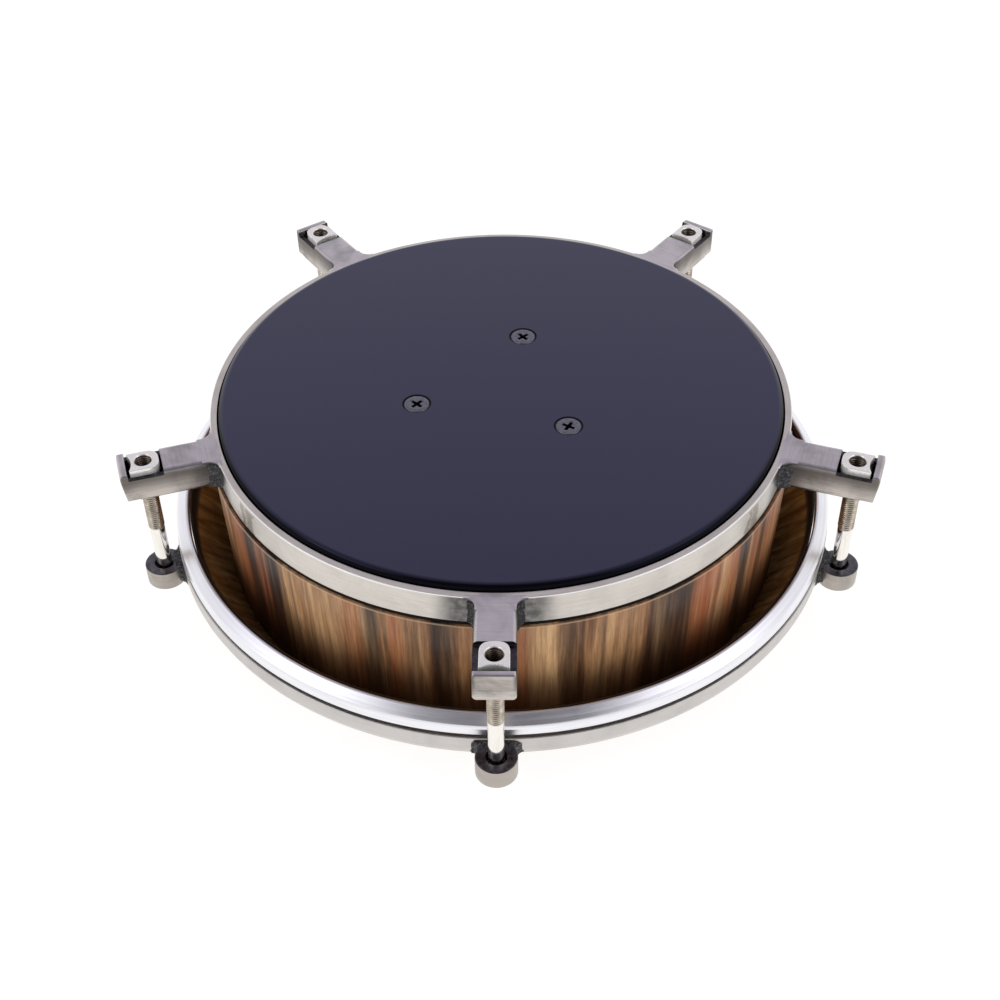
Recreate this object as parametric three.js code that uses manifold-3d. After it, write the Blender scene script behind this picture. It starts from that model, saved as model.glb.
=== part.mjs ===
// Low-profile travel hand drum, standing head-down: a wooden shell with a bearing edge,
// a steel base ring with five welded lug arms, a base plate, a tuning hoop with five
// welded ears, and five tension bolts that pull the hoop towards the base.
// Units are millimetres. +Z runs from the playing face (z = 0) to the base plate.
// The origin is the centre of the playing face; lug 1 points towards -Y.
import * as THREE from 'three';
import { mergeVertices } from 'three/addons/utils/BufferGeometryUtils.js';
import Module from 'manifold-3d';

const { degToRad } = THREE.MathUtils;

// ---------- shared dimensions ----------
// Names in _R are radii, _T thicknesses, _H heights along Z, _LO_Z and _HI_Z end levels.
const GAP = 0.3;                  // clearance between separate pieces
const WELD_GAP = 0.35;            // clearance between a ring and what is welded to it
const CUT = 1;                    // how far a cutting tool reaches past the face it cuts

const TOP_Z = 89.0;               // base ring's top edge
const RING_IN_R = 139.0;
const RING_OUT_R = 142.5;
const RING_H = 15.7;
const RING_LO_Z = TOP_Z - RING_H;
const FLANGE_IN_R = 131.5;
const FLANGE_T = 2.5;

const GASKET_T = 1.3;             // seal between shell and base ring
const GASKET_GAP = GAP / 2;       // clearance on each face of the seal
const SHELL_TOP_R = 144.0;        // shell's outer radius at the base ring
const SHELL_EDGE_R = 141.6;       // shell's outer radius at the bearing edge
const SHELL_T = 10.5;
const SHELL_TOP_IN_R = SHELL_TOP_R - SHELL_T;
const SHELL_TOP_Z = RING_LO_Z - GASKET_T - 2 * GASKET_GAP;
const HEAD_T = 1.2;               // playing membrane

const PLATE_R = 138.5;
const PLATE_RISE = 2.6;           // plate's face above the ring's top edge
const PLATE_HI_Z = TOP_Z + PLATE_RISE;
const PLATE_LO_Z = RING_LO_Z + FLANGE_T + GAP;
const DISC_T = 11.0;              // backing disc behind the plate
const DISC_HI_Z = PLATE_LO_Z - GAP;
const DISC_LO_Z = DISC_HI_Z - DISC_T;

const SCREW_HEAD_R = 6.25;
const SCREW_PCR = 43.6;           // radius of the screw circle
const SCREW_CENTRE = { x: 1.1, y: -0.35 };
// place on the screw circle and turn of the cross recess, in degrees
const SCREWS = [
  { azimuth: 77.0, recessTurn: 40 },
  { azimuth: 197.0, recessTurn: 48 },
  { azimuth: 317.0, recessTurn: 60 },
];

const LUG_COUNT = 5;
const LUG_R = 175.8;              // bolt circle radius
const NUT_HI_Z = TOP_Z + 1.5;
const NUT_H = 11.4;
const NUT_LO_Z = NUT_HI_Z - NUT_H;
const BOLT_HEAD_LO_Z = 14.2;
const BOLT_HEAD_HI_Z = 19.1;
const HOOP_OUT_R = 167.5;

const FACETS = {
  large: 60, disc: 40, boss: 26, counterbore: 22, screw: 20,
  boltHole: 18, bolt: 16, discHole: 14, hexSocket: 6,
};

// ---------- solids ----------
const manifold = await Module();
manifold.setup();

function toSolid(geometry) {
  const bare = new THREE.BufferGeometry();
  bare.setAttribute('position', geometry.attributes.position);
  bare.setIndex(geometry.index);
  const merged = mergeVertices(bare, 1e-4);
  const index = merged.index.array;
  const triangles = [];
  for (let i = 0; i < index.length; i += 3) {
    const [a, b, c] = index.slice(i, i + 3);
    // merging collapses the triangles that touch the axis
    if (a !== b && b !== c && c !== a) triangles.push(a, b, c);
  }
  return new manifold.Manifold(new manifold.Mesh({
    numProp: 3,
    vertProperties: new Float32Array(merged.attributes.position.array),
    triVerts: new Uint32Array(triangles),
  }));
}

function toGeometry(solid) {
  const mesh = solid.getMesh();
  const geometry = new THREE.BufferGeometry();
  const positions = new Float32Array(mesh.vertProperties);
  geometry.setAttribute('position', new THREE.BufferAttribute(positions, 3));
  geometry.setIndex(new THREE.BufferAttribute(new Uint32Array(mesh.triVerts), 1));
  geometry.computeVertexNormals();
  return geometry;
}

// geometry turned about Z from an [r, z] profile, listed anticlockwise in the r-z plane;
// a profile that stays off the axis is closed into a loop
function turned(profile, facets = FACETS.large) {
  const points = profile.map(([r, z]) => new THREE.Vector2(r, z));
  const meetsAxis = profile.some(([r]) => r === 0);
  if (!meetsAxis) points.push(points[0].clone());
  return new THREE.LatheGeometry(points, facets).rotateX(Math.PI / 2);
}

function extruded(outline, depth) {
  const shape = new THREE.Shape(outline.map(([x, y]) => new THREE.Vector2(x, y)));
  shape.closePath();
  return new THREE.ExtrudeGeometry(shape, { depth, bevelEnabled: false, curveSegments: 1 });
}

// prism with its outline in XY
function prismZ(outline, z0, z1) {
  return toSolid(extruded(outline, z1 - z0).translate(0, 0, z0));
}

// prism with its outline in XZ
function prismY(outline, y0, y1) {
  return toSolid(extruded(outline, y1 - y0).rotateX(Math.PI / 2).translate(0, y1, 0));
}

// prism with its outline in YZ
function prismX(outline, x0, x1) {
  const geometry = extruded(outline, x1 - x0).rotateX(Math.PI / 2).rotateZ(Math.PI / 2);
  return toSolid(geometry.translate(x0, 0, 0));
}

// box from [low, high] ranges
function box({ x, y, z }) {
  const ranges = [x, y, z];
  const geometry = new THREE.BoxGeometry(...ranges.map(([low, high]) => high - low));
  return toSolid(geometry.translate(...ranges.map(([low, high]) => (low + high) / 2)));
}

function cylinder(radius, z0, z1, facets, x = 0, y = 0) {
  const geometry = new THREE.CylinderGeometry(radius, radius, z1 - z0, facets);
  return toSolid(geometry.rotateX(Math.PI / 2).translate(x, y, (z0 + z1) / 2));
}

// cylinder that cuts right through material lying between z0 and z1
function throughCutter(radius, z0, z1, facets, x = 0, y = 0) {
  return cylinder(radius, z0 - CUT, z1 + CUT, facets, x, y);
}

function arcPoints(centreX, centreY, radius, startDeg, endDeg, steps) {
  return Array.from({ length: steps + 1 }, (_, i) => {
    const angle = degToRad(startDeg + ((endDeg - startDeg) * i) / steps);
    return [centreX + radius * Math.cos(angle), centreY + radius * Math.sin(angle)];
  });
}

// ---------- materials ----------
const material = (settings) => new THREE.MeshStandardMaterial(settings);
const WOOD = material({ color: 0x9a6a42, roughness: 0.38, metalness: 0.0 });
const STEEL = material({ color: 0x9a948f, roughness: 0.42, metalness: 1.0 });
const NICKEL = material({ color: 0xd9d2c4, roughness: 0.22, metalness: 1.0 });
const ALUMINIUM = material({ color: 0xc4c6cc, roughness: 0.25, metalness: 1.0 });
const BLACK_GLOSS = material({ color: 0x0b0b0e, roughness: 0.12, metalness: 0.0 });
const BLACK_METAL = material({ color: 0x1c1c20, roughness: 0.35, metalness: 0.8 });
const RUBBER = material({ color: 0x101010, roughness: 0.8, metalness: 0.0 });
const HIDE = material({ color: 0x5a3a20, roughness: 0.5, metalness: 0.0 });
const BOARD = material({ color: 0x8a6b46, roughness: 0.8, metalness: 0.0 });

// ---------- shell, gasket, base ring: profiles are [r, z] ----------
// slightly tapered wooden tube; its lower end is rounded into the bearing edge
function makeShell() {
  const edgeZ = HEAD_T + GAP;
  return turned([
    [SHELL_TOP_IN_R, SHELL_TOP_Z],
    [SHELL_EDGE_R - SHELL_T, edgeZ + 8.0],
    [SHELL_EDGE_R - 4.2, edgeZ + 1.4],
    [SHELL_EDGE_R - 2.6, edgeZ],
    [SHELL_EDGE_R - 1.2, edgeZ + 0.2],
    [SHELL_EDGE_R, edgeZ + 2.0],
    [SHELL_TOP_R, SHELL_TOP_Z - 1.0],
    [SHELL_TOP_R - 0.8, SHELL_TOP_Z],
  ]);
}

function makeGasket() {
  const innerR = SHELL_TOP_IN_R + 1.5;
  const outerR = RING_OUT_R + 0.8;
  const lowZ = SHELL_TOP_Z + GASKET_GAP;
  const highZ = lowZ + GASKET_T;
  return turned([[innerR, lowZ], [outerR, lowZ], [outerR, highZ], [innerR, highZ]]);
}

// angle section: a tall band with a narrow inward flange that carries the plate
function makeBaseRing() {
  return turned([
    [FLANGE_IN_R, RING_LO_Z],
    [RING_OUT_R, RING_LO_Z],
    [RING_OUT_R, TOP_Z - 0.6],
    [RING_OUT_R - 0.6, TOP_Z],
    [RING_IN_R + 0.5, TOP_Z],
    [RING_IN_R, TOP_Z - 0.5],
    [RING_IN_R, RING_LO_Z + FLANGE_T],
    [FLANGE_IN_R, RING_LO_Z + FLANGE_T],
  ]);
}

// ---------- base plate, backing disc, screws ----------
const screwPlaces = SCREWS.map(({ azimuth, recessTurn }) => {
  const angle = degToRad(azimuth);
  return {
    x: SCREW_CENTRE.x + SCREW_PCR * Math.cos(angle),
    y: SCREW_CENTRE.y + SCREW_PCR * Math.sin(angle),
    turn: degToRad(recessTurn),
  };
});

// disc with a rounded upper rim and three countersunk holes
function makeBasePlate() {
  const rimRound = 3.0;
  const holeR = 2.9;
  const sinkR = SCREW_HEAD_R + 0.45;
  const countersink = turned([
    [0, PLATE_LO_Z - CUT],
    [holeR, PLATE_LO_Z - CUT],
    [holeR, PLATE_HI_Z - 4.0],
    [sinkR, PLATE_HI_Z - 0.3],
    [sinkR, PLATE_HI_Z + CUT],
    [0, PLATE_HI_Z + CUT],
  ], FACETS.screw);
  let plate = toSolid(turned([
    [0, PLATE_LO_Z],
    [PLATE_R, PLATE_LO_Z],
    ...arcPoints(PLATE_R - rimRound, PLATE_HI_Z - rimRound, rimRound, 0, 90, 5),
    [0, PLATE_HI_Z],
  ]));
  for (const { x, y } of screwPlaces) {
    plate = plate.subtract(toSolid(countersink.clone().translate(x, y, 0)));
  }
  return toGeometry(plate);
}

// disc inside the shell that takes the plate screws
function makeBackingDisc() {
  const discR = 62.0;
  const holeR = 2.75;
  let disc = cylinder(discR, DISC_LO_Z, DISC_HI_Z, FACETS.disc);
  for (const { x, y } of screwPlaces) {
    disc = disc.subtract(throughCutter(holeR, DISC_LO_Z, DISC_HI_Z, FACETS.discHole, x, y));
  }
  return toGeometry(disc);
}

// countersunk screw with a cross recess, on the Z axis
function makePlateScrew() {
  const tipZ = DISC_LO_Z + 1.0;
  const shankR = 2.4;
  const slotLong = [-2.6, 2.6];
  const slotWide = [-0.62, 0.62];
  const slotZ = [PLATE_HI_Z - 2.4, PLATE_HI_Z + CUT];
  const body = toSolid(turned([
    [0, tipZ],
    [1.2, tipZ],
    [shankR, tipZ + 2.5],
    [shankR, PLATE_HI_Z - 4.2],
    [SCREW_HEAD_R - 0.1, PLATE_HI_Z - 0.75],
    [SCREW_HEAD_R, PLATE_HI_Z - 0.15],
    [0, PLATE_HI_Z - 0.1],
  ], FACETS.screw));
  return toGeometry(body
    .subtract(box({ x: slotLong, y: slotWide, z: slotZ }))
    .subtract(box({ x: slotWide, y: slotLong, z: slotZ })));
}

// ---------- lug parts: modelled along +X, then turned to each lug ----------
const ARM_HALF_W = 9.3;
const ARM_WALL = 2.6;             // sheet thickness
const ARM_START_R = RING_IN_R;    // inside the ring, trimmed back to its outer face
const ARM_NOTCH_R = 167.5;        // where the arm's top is cut away for the nut
const ARM_NOTCH_Z = TOP_Z - 2.3;
const ARM_END_START_R = 181;      // where the end's cross section takes over
const ARM_END_IN_R = 184.2;       // end wall, inner face
const ARM_END_OUT_R = 187.9;      // end wall, outermost point
const ARM_END_HI_Z = TOP_Z + 0.9;

// side view of the arm, [x, z]
const ARM_SIDE = [
  [ARM_START_R, RING_LO_Z],
  [184.6, RING_LO_Z],
  [185.7, RING_LO_Z + 0.5],
  [186.1, RING_LO_Z + 1.6],
  [187.0, RING_LO_Z + 8.6],
  [187.7, TOP_Z - 3.2],
  [ARM_END_OUT_R, TOP_Z - 1.4],
  [187.7, TOP_Z + 0.3],
  [186.9, ARM_END_HI_Z],
  [184.9, TOP_Z + 0.85],
  [ARM_END_IN_R, TOP_Z + 0.2],
  [ARM_END_IN_R, ARM_NOTCH_Z],
  [ARM_NOTCH_R, ARM_NOTCH_Z],
  [ARM_NOTCH_R, TOP_Z],
  [ARM_START_R, TOP_Z],
];

// arm's outer outline in YZ; each rounding is { radius, steps }
function armSection(lower, upper, highZ) {
  const corner = (side, { radius, steps }, z, startDeg) => (
    arcPoints(side * (ARM_HALF_W - radius), z, radius, startDeg, startDeg + 90, steps));
  const lowerZ = RING_LO_Z + lower.radius;
  const upperZ = highZ - upper.radius;
  return [
    ...corner(1, lower, lowerZ, -90),
    ...corner(1, upper, upperZ, 0),
    ...corner(-1, upper, upperZ, 90),
    ...corner(-1, lower, lowerZ, 180),
  ];
}

// shelf under the nut, with a hole for the bolt
function makeShelf(halfW) {
  const highZ = NUT_LO_Z - GAP;
  const lowZ = highZ - ARM_WALL;
  const holeR = 4.75;
  return box({ x: [152, ARM_END_IN_R + 0.5], y: [-halfW, halfW], z: [lowZ, highZ] })
    .subtract(throughCutter(holeR, lowZ, highZ, FACETS.boltHole, LUG_R));
}

// weld fillet at the ring; side is 1 for +Y, -1 for -Y
function makeWeldFillet(side) {
  return prismZ([
    [ARM_START_R, side * (ARM_HALF_W - 0.5)],
    [147.5, side * (ARM_HALF_W - 0.5)],
    [145.2, side * (ARM_HALF_W + 1.4)],
    [143.0, side * (ARM_HALF_W + 4.4)],
    [ARM_START_R, side * (ARM_HALF_W + 4.4)],
  ], RING_LO_Z + 0.8, TOP_Z - 1.6);
}

// folded steel channel, open at its lower side and above the nut
function makeArm() {
  const mainSection = armSection({ radius: 2.0, steps: 3 }, { radius: 2.4, steps: 3 }, TOP_Z);
  const endSection = armSection(
    { radius: 2.4, steps: 3 }, { radius: 1.6, steps: 2 }, ARM_END_HI_Z);
  const innerHalfW = ARM_HALF_W - ARM_WALL;
  const innerY = [-innerHalfW, innerHalfW];
  const side = prismY(ARM_SIDE, -ARM_HALF_W, ARM_HALF_W);
  const channelCut = box({
    x: [130, ARM_NOTCH_R + 0.1], y: innerY, z: [RING_LO_Z - CUT, TOP_Z - ARM_WALL],
  });
  const notchCut = box({
    x: [ARM_NOTCH_R, ARM_END_IN_R], y: innerY, z: [RING_LO_Z - CUT, TOP_Z + CUT],
  });
  return toGeometry(side.intersect(prismX(mainSection, ARM_START_R, ARM_END_START_R))
    .add(side.intersect(prismX(endSection, ARM_END_START_R, 189)))
    .subtract(channelCut)
    .subtract(notchCut)
    .add(makeShelf(innerHalfW + 0.4))
    .add(makeWeldFillet(1))
    .add(makeWeldFillet(-1))
    .subtract(throughCutter(RING_OUT_R + WELD_GAP, RING_LO_Z, TOP_Z, FACETS.large)));
}

// tension nut: a saddle block, rounded towards the ring and hollowed on its outer face
function makeNut() {
  const width = 13.1;
  const holeR = 4.15;
  const roundDepth = 6.7;
  const roundSteps = 16;
  const power = 2 / 2.8;          // the rounding is a superellipse of exponent 2.8
  const rounding = arcPoints(0, 0, 1, 90, 270, roundSteps).map(([x, y]) => [
    LUG_R - 0.6 - roundDepth * Math.abs(x) ** power,
    (width / 2) * Math.sign(y) * Math.abs(y) ** power,
  ]);
  const outline = [
    [LUG_R + 7.3, width / 2],
    ...rounding,
    [LUG_R + 7.3, -width / 2],
    [LUG_R + 7.0, -width * 0.38],
    [LUG_R + 6.1, -width * 0.19],
    [LUG_R + 5.8, 0],
    [LUG_R + 6.1, width * 0.19],
    [LUG_R + 7.0, width * 0.38],
  ];
  return toGeometry(prismZ(outline, NUT_LO_Z, NUT_HI_Z)
    .subtract(throughCutter(holeR, NUT_LO_Z, NUT_HI_Z, FACETS.boltHole, LUG_R)));
}

// M8 tension bolt: low socket head, plain shank, thread modelled plain at crest radius
function makeBolt() {
  const headR = 6.5;
  const shankR = 3.7;
  const threadR = 3.92;
  const threadZ = 48.5;
  const tipZ = 84.0;
  const socketR = 2.9;
  const socketDepth = 2.6;
  const body = toSolid(turned([
    [0, BOLT_HEAD_LO_Z],
    [headR - 0.4, BOLT_HEAD_LO_Z],
    [headR, BOLT_HEAD_LO_Z + 0.4],
    [headR, BOLT_HEAD_HI_Z],
    [shankR, BOLT_HEAD_HI_Z],
    [shankR, threadZ],
    [threadR, threadZ + 0.6],
    [threadR, tipZ - 1.0],
    [threadR - 0.9, tipZ],
    [0, tipZ],
  ], FACETS.bolt));
  const socket = cylinder(
    socketR, BOLT_HEAD_LO_Z - CUT, BOLT_HEAD_LO_Z + socketDepth, FACETS.hexSocket);
  return toGeometry(body.subtract(socket)).translate(LUG_R, 0, 0);
}

// ear on the counterhoop: a boss on a short neck, counterbored for the bolt head
function makeHoopEar() {
  const lowZ = 13.6;
  const highZ = 24.0;
  const bossR = 9.6;
  const holeR = 4.85;
  const boreR = 7.5;
  const neck = [[160, -8.2], [171, -6.2], [171, 6.2], [160, 8.2]];
  return toGeometry(cylinder(bossR, lowZ, highZ, FACETS.boss, LUG_R)
    .add(prismZ(neck, lowZ + 2.0, highZ - 0.8))
    .subtract(throughCutter(holeR, lowZ, highZ, FACETS.boltHole, LUG_R))
    .subtract(cylinder(boreR, lowZ - CUT, BOLT_HEAD_HI_Z + GAP, FACETS.counterbore, LUG_R))
    .subtract(throughCutter(HOOP_OUT_R + WELD_GAP, lowZ, highZ, FACETS.large)));
}

// ---------- tuning hoop and head: profiles are [r, z] ----------
function makeCounterhoop() {
  const innerR = 160.6;
  const lowZ = 13.8;
  const highZ = 25.4;
  return turned([
    [innerR, highZ - 2.6],
    [164.2, highZ - 3.0],
    [163.6, lowZ + 1.2],
    [164.8, lowZ],
    [166.0, lowZ + 0.4],
    [HOOP_OUT_R, lowZ + 3.8],
    [HOOP_OUT_R, highZ],
    [innerR, highZ],
  ]);
}

function makeFleshHoop() {
  const innerR = 160.1;
  const outerR = 167.05;
  const lowZ = 27.2;
  const highZ = 36.5;
  return turned([
    [innerR, lowZ],
    [outerR, lowZ],
    [outerR, lowZ + 3.8],
    [outerR - 1.1, lowZ + 6.0],
    [outerR - 3.2, highZ - 1.6],
    [innerR + 1.8, highZ],
    [innerR, highZ - 0.6],
  ]);
}

// flat playing membrane and a conical collar that rises inside the flesh hoop
function makeHead() {
  const collarR = 159.6;
  const collarZ = 31.0;
  return turned([
    [0, 0],
    [SHELL_EDGE_R - 1.6, 0],
    [SHELL_EDGE_R + 1.6, 1.8],
    [collarR - 3.0, 22.0],
    [collarR, collarZ - 3.0],
    [collarR, collarZ],
    [collarR - 1.1, collarZ],
    [collarR - 1.2, collarZ - 2.8],
    [collarR - 4.2, 22.4],
    [SHELL_EDGE_R + 0.5, 2.6],
    [SHELL_EDGE_R - 1.5, HEAD_T],
    [0, HEAD_T],
  ]);
}

// ---------- assembly ----------
const drum = new THREE.Group();

function addMesh(name, geometry, surface, azimuthDeg = 0) {
  const mesh = new THREE.Mesh(geometry, surface);
  mesh.name = name;
  mesh.rotation.z = degToRad(azimuthDeg);
  drum.add(mesh);
}

function addPlateScrews() {
  const screw = makePlateScrew();
  screwPlaces.forEach(({ x, y, turn }, i) => {
    const placed = screw.clone().rotateZ(turn).translate(x, y, 0);
    addMesh(`plate_screw_${i + 1}`, placed, BLACK_METAL);
  });
}

function addLugs() {
  const arm = makeArm();
  const nut = makeNut();
  const nutReversed = nut.clone().translate(-LUG_R, 0, 0).rotateZ(Math.PI).translate(LUG_R, 0, 0);
  const bolt = makeBolt();
  const ear = makeHoopEar();
  for (let lug = 1; lug <= LUG_COUNT; lug++) {
    const azimuth = -90 + (360 / LUG_COUNT) * (lug - 1);
    // the two nuts on the +Y side sit the other way round in their notches
    const lugNut = lug === 3 || lug === 4 ? nutReversed : nut;
    addMesh(`arm_${lug}`, arm.clone(), STEEL, azimuth);
    addMesh(`nut_${lug}`, lugNut.clone(), NICKEL, azimuth);
    addMesh(`bolt_${lug}`, bolt.clone(), NICKEL, azimuth);
    addMesh(`hoop_ear_${lug}`, ear.clone(), STEEL, azimuth);
  }
}

addMesh('shell', makeShell(), WOOD);
addMesh('ring_gasket', makeGasket(), RUBBER);
addMesh('base_ring', makeBaseRing(), STEEL);
addMesh('base_plate', makeBasePlate(), BLACK_GLOSS);
addMesh('backing_disc', makeBackingDisc(), BOARD);
addPlateScrews();
addLugs();
addMesh('counterhoop', makeCounterhoop(), STEEL);
addMesh('flesh_hoop', makeFleshHoop(), ALUMINIUM);
addMesh('drum_head', makeHead(), HIDE);

export default drum;
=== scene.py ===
# Looks for a low-profile travel hand drum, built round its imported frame.
# The drum lies head down about the Z axis: the playing face is at z = 0, and the base ring, plate
# and tension nuts are on top. The front is -Y, where lug 1 points. Sizes are in millimetres;
# meshes, and distances inside materials, are in metres.
import bpy, bmesh, math
from mathutils import Vector, Matrix, noise


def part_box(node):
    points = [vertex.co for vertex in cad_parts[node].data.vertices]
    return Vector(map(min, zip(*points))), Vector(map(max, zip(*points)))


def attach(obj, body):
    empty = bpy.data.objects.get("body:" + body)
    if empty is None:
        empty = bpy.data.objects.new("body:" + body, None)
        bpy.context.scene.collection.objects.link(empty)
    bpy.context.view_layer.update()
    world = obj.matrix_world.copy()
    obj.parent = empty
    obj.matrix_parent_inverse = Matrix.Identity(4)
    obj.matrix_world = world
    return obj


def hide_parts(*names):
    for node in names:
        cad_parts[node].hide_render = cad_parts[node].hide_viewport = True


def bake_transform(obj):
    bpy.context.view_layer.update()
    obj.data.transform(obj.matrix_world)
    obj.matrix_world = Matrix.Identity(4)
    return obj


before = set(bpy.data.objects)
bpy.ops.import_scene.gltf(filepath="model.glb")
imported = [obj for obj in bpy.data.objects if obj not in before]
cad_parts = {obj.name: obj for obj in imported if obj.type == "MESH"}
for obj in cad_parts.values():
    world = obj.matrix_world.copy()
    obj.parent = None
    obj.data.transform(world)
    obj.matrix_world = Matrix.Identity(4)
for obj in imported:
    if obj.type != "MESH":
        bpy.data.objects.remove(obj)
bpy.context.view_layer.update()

MM = 0.001
rad = math.radians


# ---------------------------------------------------------------- sizes
def z_span(node):
    """lowest and highest z of a frame node, mm"""
    low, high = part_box(node)
    return low.z * 1000.0, high.z * 1000.0


RING_LO, TOP = z_span("base_ring")
PLATE_LO, PLATE_TOP = z_span("base_plate")
SHELL_LO, SHELL_HI = z_span("shell")
SEAL_LO, SEAL_HI = z_span("ring_gasket")
BOARD_LO, BOARD_HI = z_span("backing_disc")
NUT_LO, NUT_HI = z_span("nut_1")
BOLT_LO, BOLT_HI = z_span("bolt_1")
EAR_LO, EAR_HI = z_span("hoop_ear_1")
HOOP_LO, HOOP_HI = z_span("counterhoop")
FLESH_LO, FLESH_HI = z_span("flesh_hoop")
HEAD_HI = z_span("drum_head")[1]

PLATE_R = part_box("base_plate")[1].x * 1000.0
RING_OUT = 142.5                                # base ring's outer radius
LUG_R = 175.8                                   # radius of the tension bolts' axes
LUGS = [rad(-90 + 72 * i) for i in range(5)]    # headings of the five lugs
THREAD_PITCH = 1.25
SCREWS = []                                     # plate screw axes (x, y)
for i in (1, 2, 3):
    low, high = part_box("plate_screw_%d" % i)
    SCREWS.append(((low.x + high.x) * 500.0, (low.y + high.y) * 500.0))


# ---------------------------------------------------------------- mesh helpers
def make(name, verts, faces, sharp=None):
    """object from points in mm; smooth up to the sharp angle in degrees, or flat if it is None"""
    mesh = bpy.data.meshes.new(name)
    mesh.from_pydata([(x * MM, y * MM, z * MM) for x, y, z in verts], [], faces)
    mesh.validate()
    mesh.update()
    ob = bpy.data.objects.new(name, mesh)
    bpy.context.scene.collection.objects.link(ob)
    bm = bmesh.new()
    bm.from_mesh(mesh)
    bmesh.ops.recalc_face_normals(bm, faces=bm.faces)
    bm.to_mesh(mesh)
    bm.free()
    if sharp is not None:
        shade(ob, sharp)
    return ob


def shade(ob, angle):
    mesh = ob.data
    mesh.polygons.foreach_set("use_smooth", [True] * len(mesh.polygons))
    mesh.set_sharp_from_angle(angle=rad(angle))
    mesh.update()


def weld_points(ob, dist=1e-6, degenerate=1e-6, outward=False):
    """merges coincident points; outward also turns the faces to point out"""
    bm = bmesh.new()
    bm.from_mesh(ob.data)
    bmesh.ops.remove_doubles(bm, verts=bm.verts, dist=dist)
    bmesh.ops.dissolve_degenerate(bm, edges=bm.edges, dist=degenerate)
    if outward:
        bmesh.ops.recalc_face_normals(bm, faces=bm.faces)
    bm.to_mesh(ob.data)
    bm.free()


def loft(name, rows, sharp=None):
    """solid through stacked closed rows of equal length, capped at both ends"""
    count = len(rows[0])
    last = (len(rows) - 1) * count
    verts = [point for row in rows for point in row]
    faces = []
    for start in range(0, last, count):
        for i in range(count):
            a = start + i
            b = start + (i + 1) % count
            faces.append((a, b, b + count, a + count))
    faces.append(tuple(range(count - 1, -1, -1)))
    faces.append(tuple(last + i for i in range(count)))
    return make(name, verts, faces, sharp)


def ring_row(radius, z, count=60, turn=0.0):
    """one ring of points; radius is a number or a function of the angle before turning"""
    row = []
    for k in range(count):
        angle = 2 * math.pi * k / count
        r = radius(angle) if callable(radius) else radius
        row.append((r * math.cos(angle + turn), r * math.sin(angle + turn), z))
    return row


def lathe(name, profile, count=360, sharp=32.0, wobble=None):
    """turned piece about Z from a closed profile of (radius, z)"""
    verts, faces = [], []
    size = len(profile)
    for i in range(count):
        angle = 2 * math.pi * i / count
        for radius, z in profile:
            if wobble:
                radius, z = wobble(radius, z, angle)
            verts.append((radius * math.cos(angle), radius * math.sin(angle), z))
    for i in range(count):
        i2 = (i + 1) % count
        for j in range(size):
            j2 = (j + 1) % size
            faces.append((i * size + j, i2 * size + j, i2 * size + j2, i * size + j2))
    ob = make(name, verts, faces, sharp)
    # points on the axis are welded
    if any(radius < 1e-6 for radius, z in profile):
        weld_points(ob, 1e-6, 1e-7, outward=True)
        shade(ob, sharp)
    return ob


def rounded(corners, steps):
    """closed outline from rows of (a, b, corner radius); each arc has the given steps"""
    points = [Vector((a, b)) for a, b, _ in corners]
    outline = []
    for i, corner in enumerate(points):
        radius = corners[i][2]
        to_last = points[i - 1] - corner
        to_next = points[(i + 1) % len(points)] - corner
        room = min(to_last.length * 0.49, to_next.length * 0.49)
        to_last.normalize()
        to_next.normalize()
        opening = math.acos(max(-1, min(1, to_last.dot(to_next))))
        if radius <= 0 or opening > math.pi - 0.02:
            outline.append((corner.x, corner.y))
            continue
        setback = min(radius / math.tan(opening / 2), room)
        radius = setback * math.tan(opening / 2)
        centre = corner + (to_last + to_next).normalized() * (radius / math.sin(opening / 2))
        start = corner + to_last * setback
        end = corner + to_next * setback
        first = math.atan2(start.y - centre.y, start.x - centre.x)
        final = math.atan2(end.y - centre.y, end.x - centre.x)
        sweep = (final - first + math.pi) % (2 * math.pi) - math.pi
        for k in range(steps + 1):
            angle = first + sweep * k / steps
            outline.append((centre.x + radius * math.cos(angle),
                            centre.y + radius * math.sin(angle)))
    return outline


def prism(name, outline, low, high, axis):
    """solid from an outline swept along x, y or z"""
    count = len(outline)
    verts = []
    for t in (low, high):
        for a, b in outline:
            verts.append({"z": (a, b, t), "y": (a, t, b), "x": (t, a, b)}[axis])
    faces = [tuple(range(count - 1, -1, -1)), tuple(range(count, 2 * count))]
    for i in range(count):
        j = (i + 1) % count
        faces.append((i, j, j + count, i + count))
    return make(name, verts, faces)


def bake(ob):
    """applies the modifiers"""
    bpy.context.view_layer.update()
    graph = bpy.context.evaluated_depsgraph_get()
    mesh = bpy.data.meshes.new_from_object(ob.evaluated_get(graph))
    old = ob.data
    ob.modifiers.clear()
    ob.data = mesh
    mesh.name = ob.name
    if old.users == 0:
        bpy.data.meshes.remove(old)


def drop(ob):
    mesh = ob.data
    bpy.data.objects.remove(ob)
    if mesh.users == 0:
        bpy.data.meshes.remove(mesh)


def boolean(ob, other, operation):
    """changes ob by other, and uses other up"""
    bpy.context.view_layer.update()
    mod = ob.modifiers.new("boolean", "BOOLEAN")
    mod.operation = operation
    mod.object = other
    mod.solver = "MANIFOLD"
    bake(ob)
    if len(ob.data.polygons) == 0:
        raise RuntimeError("boolean left nothing: " + ob.name)
    drop(other)
    return ob


def bevel(ob, width, segments, angle):
    mod = ob.modifiers.new("bevel", "BEVEL")
    mod.width = width * MM
    mod.segments = segments
    mod.limit_method = "ANGLE"
    mod.angle_limit = rad(angle)
    mod.use_clamp_overlap = True
    bake(ob)


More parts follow.
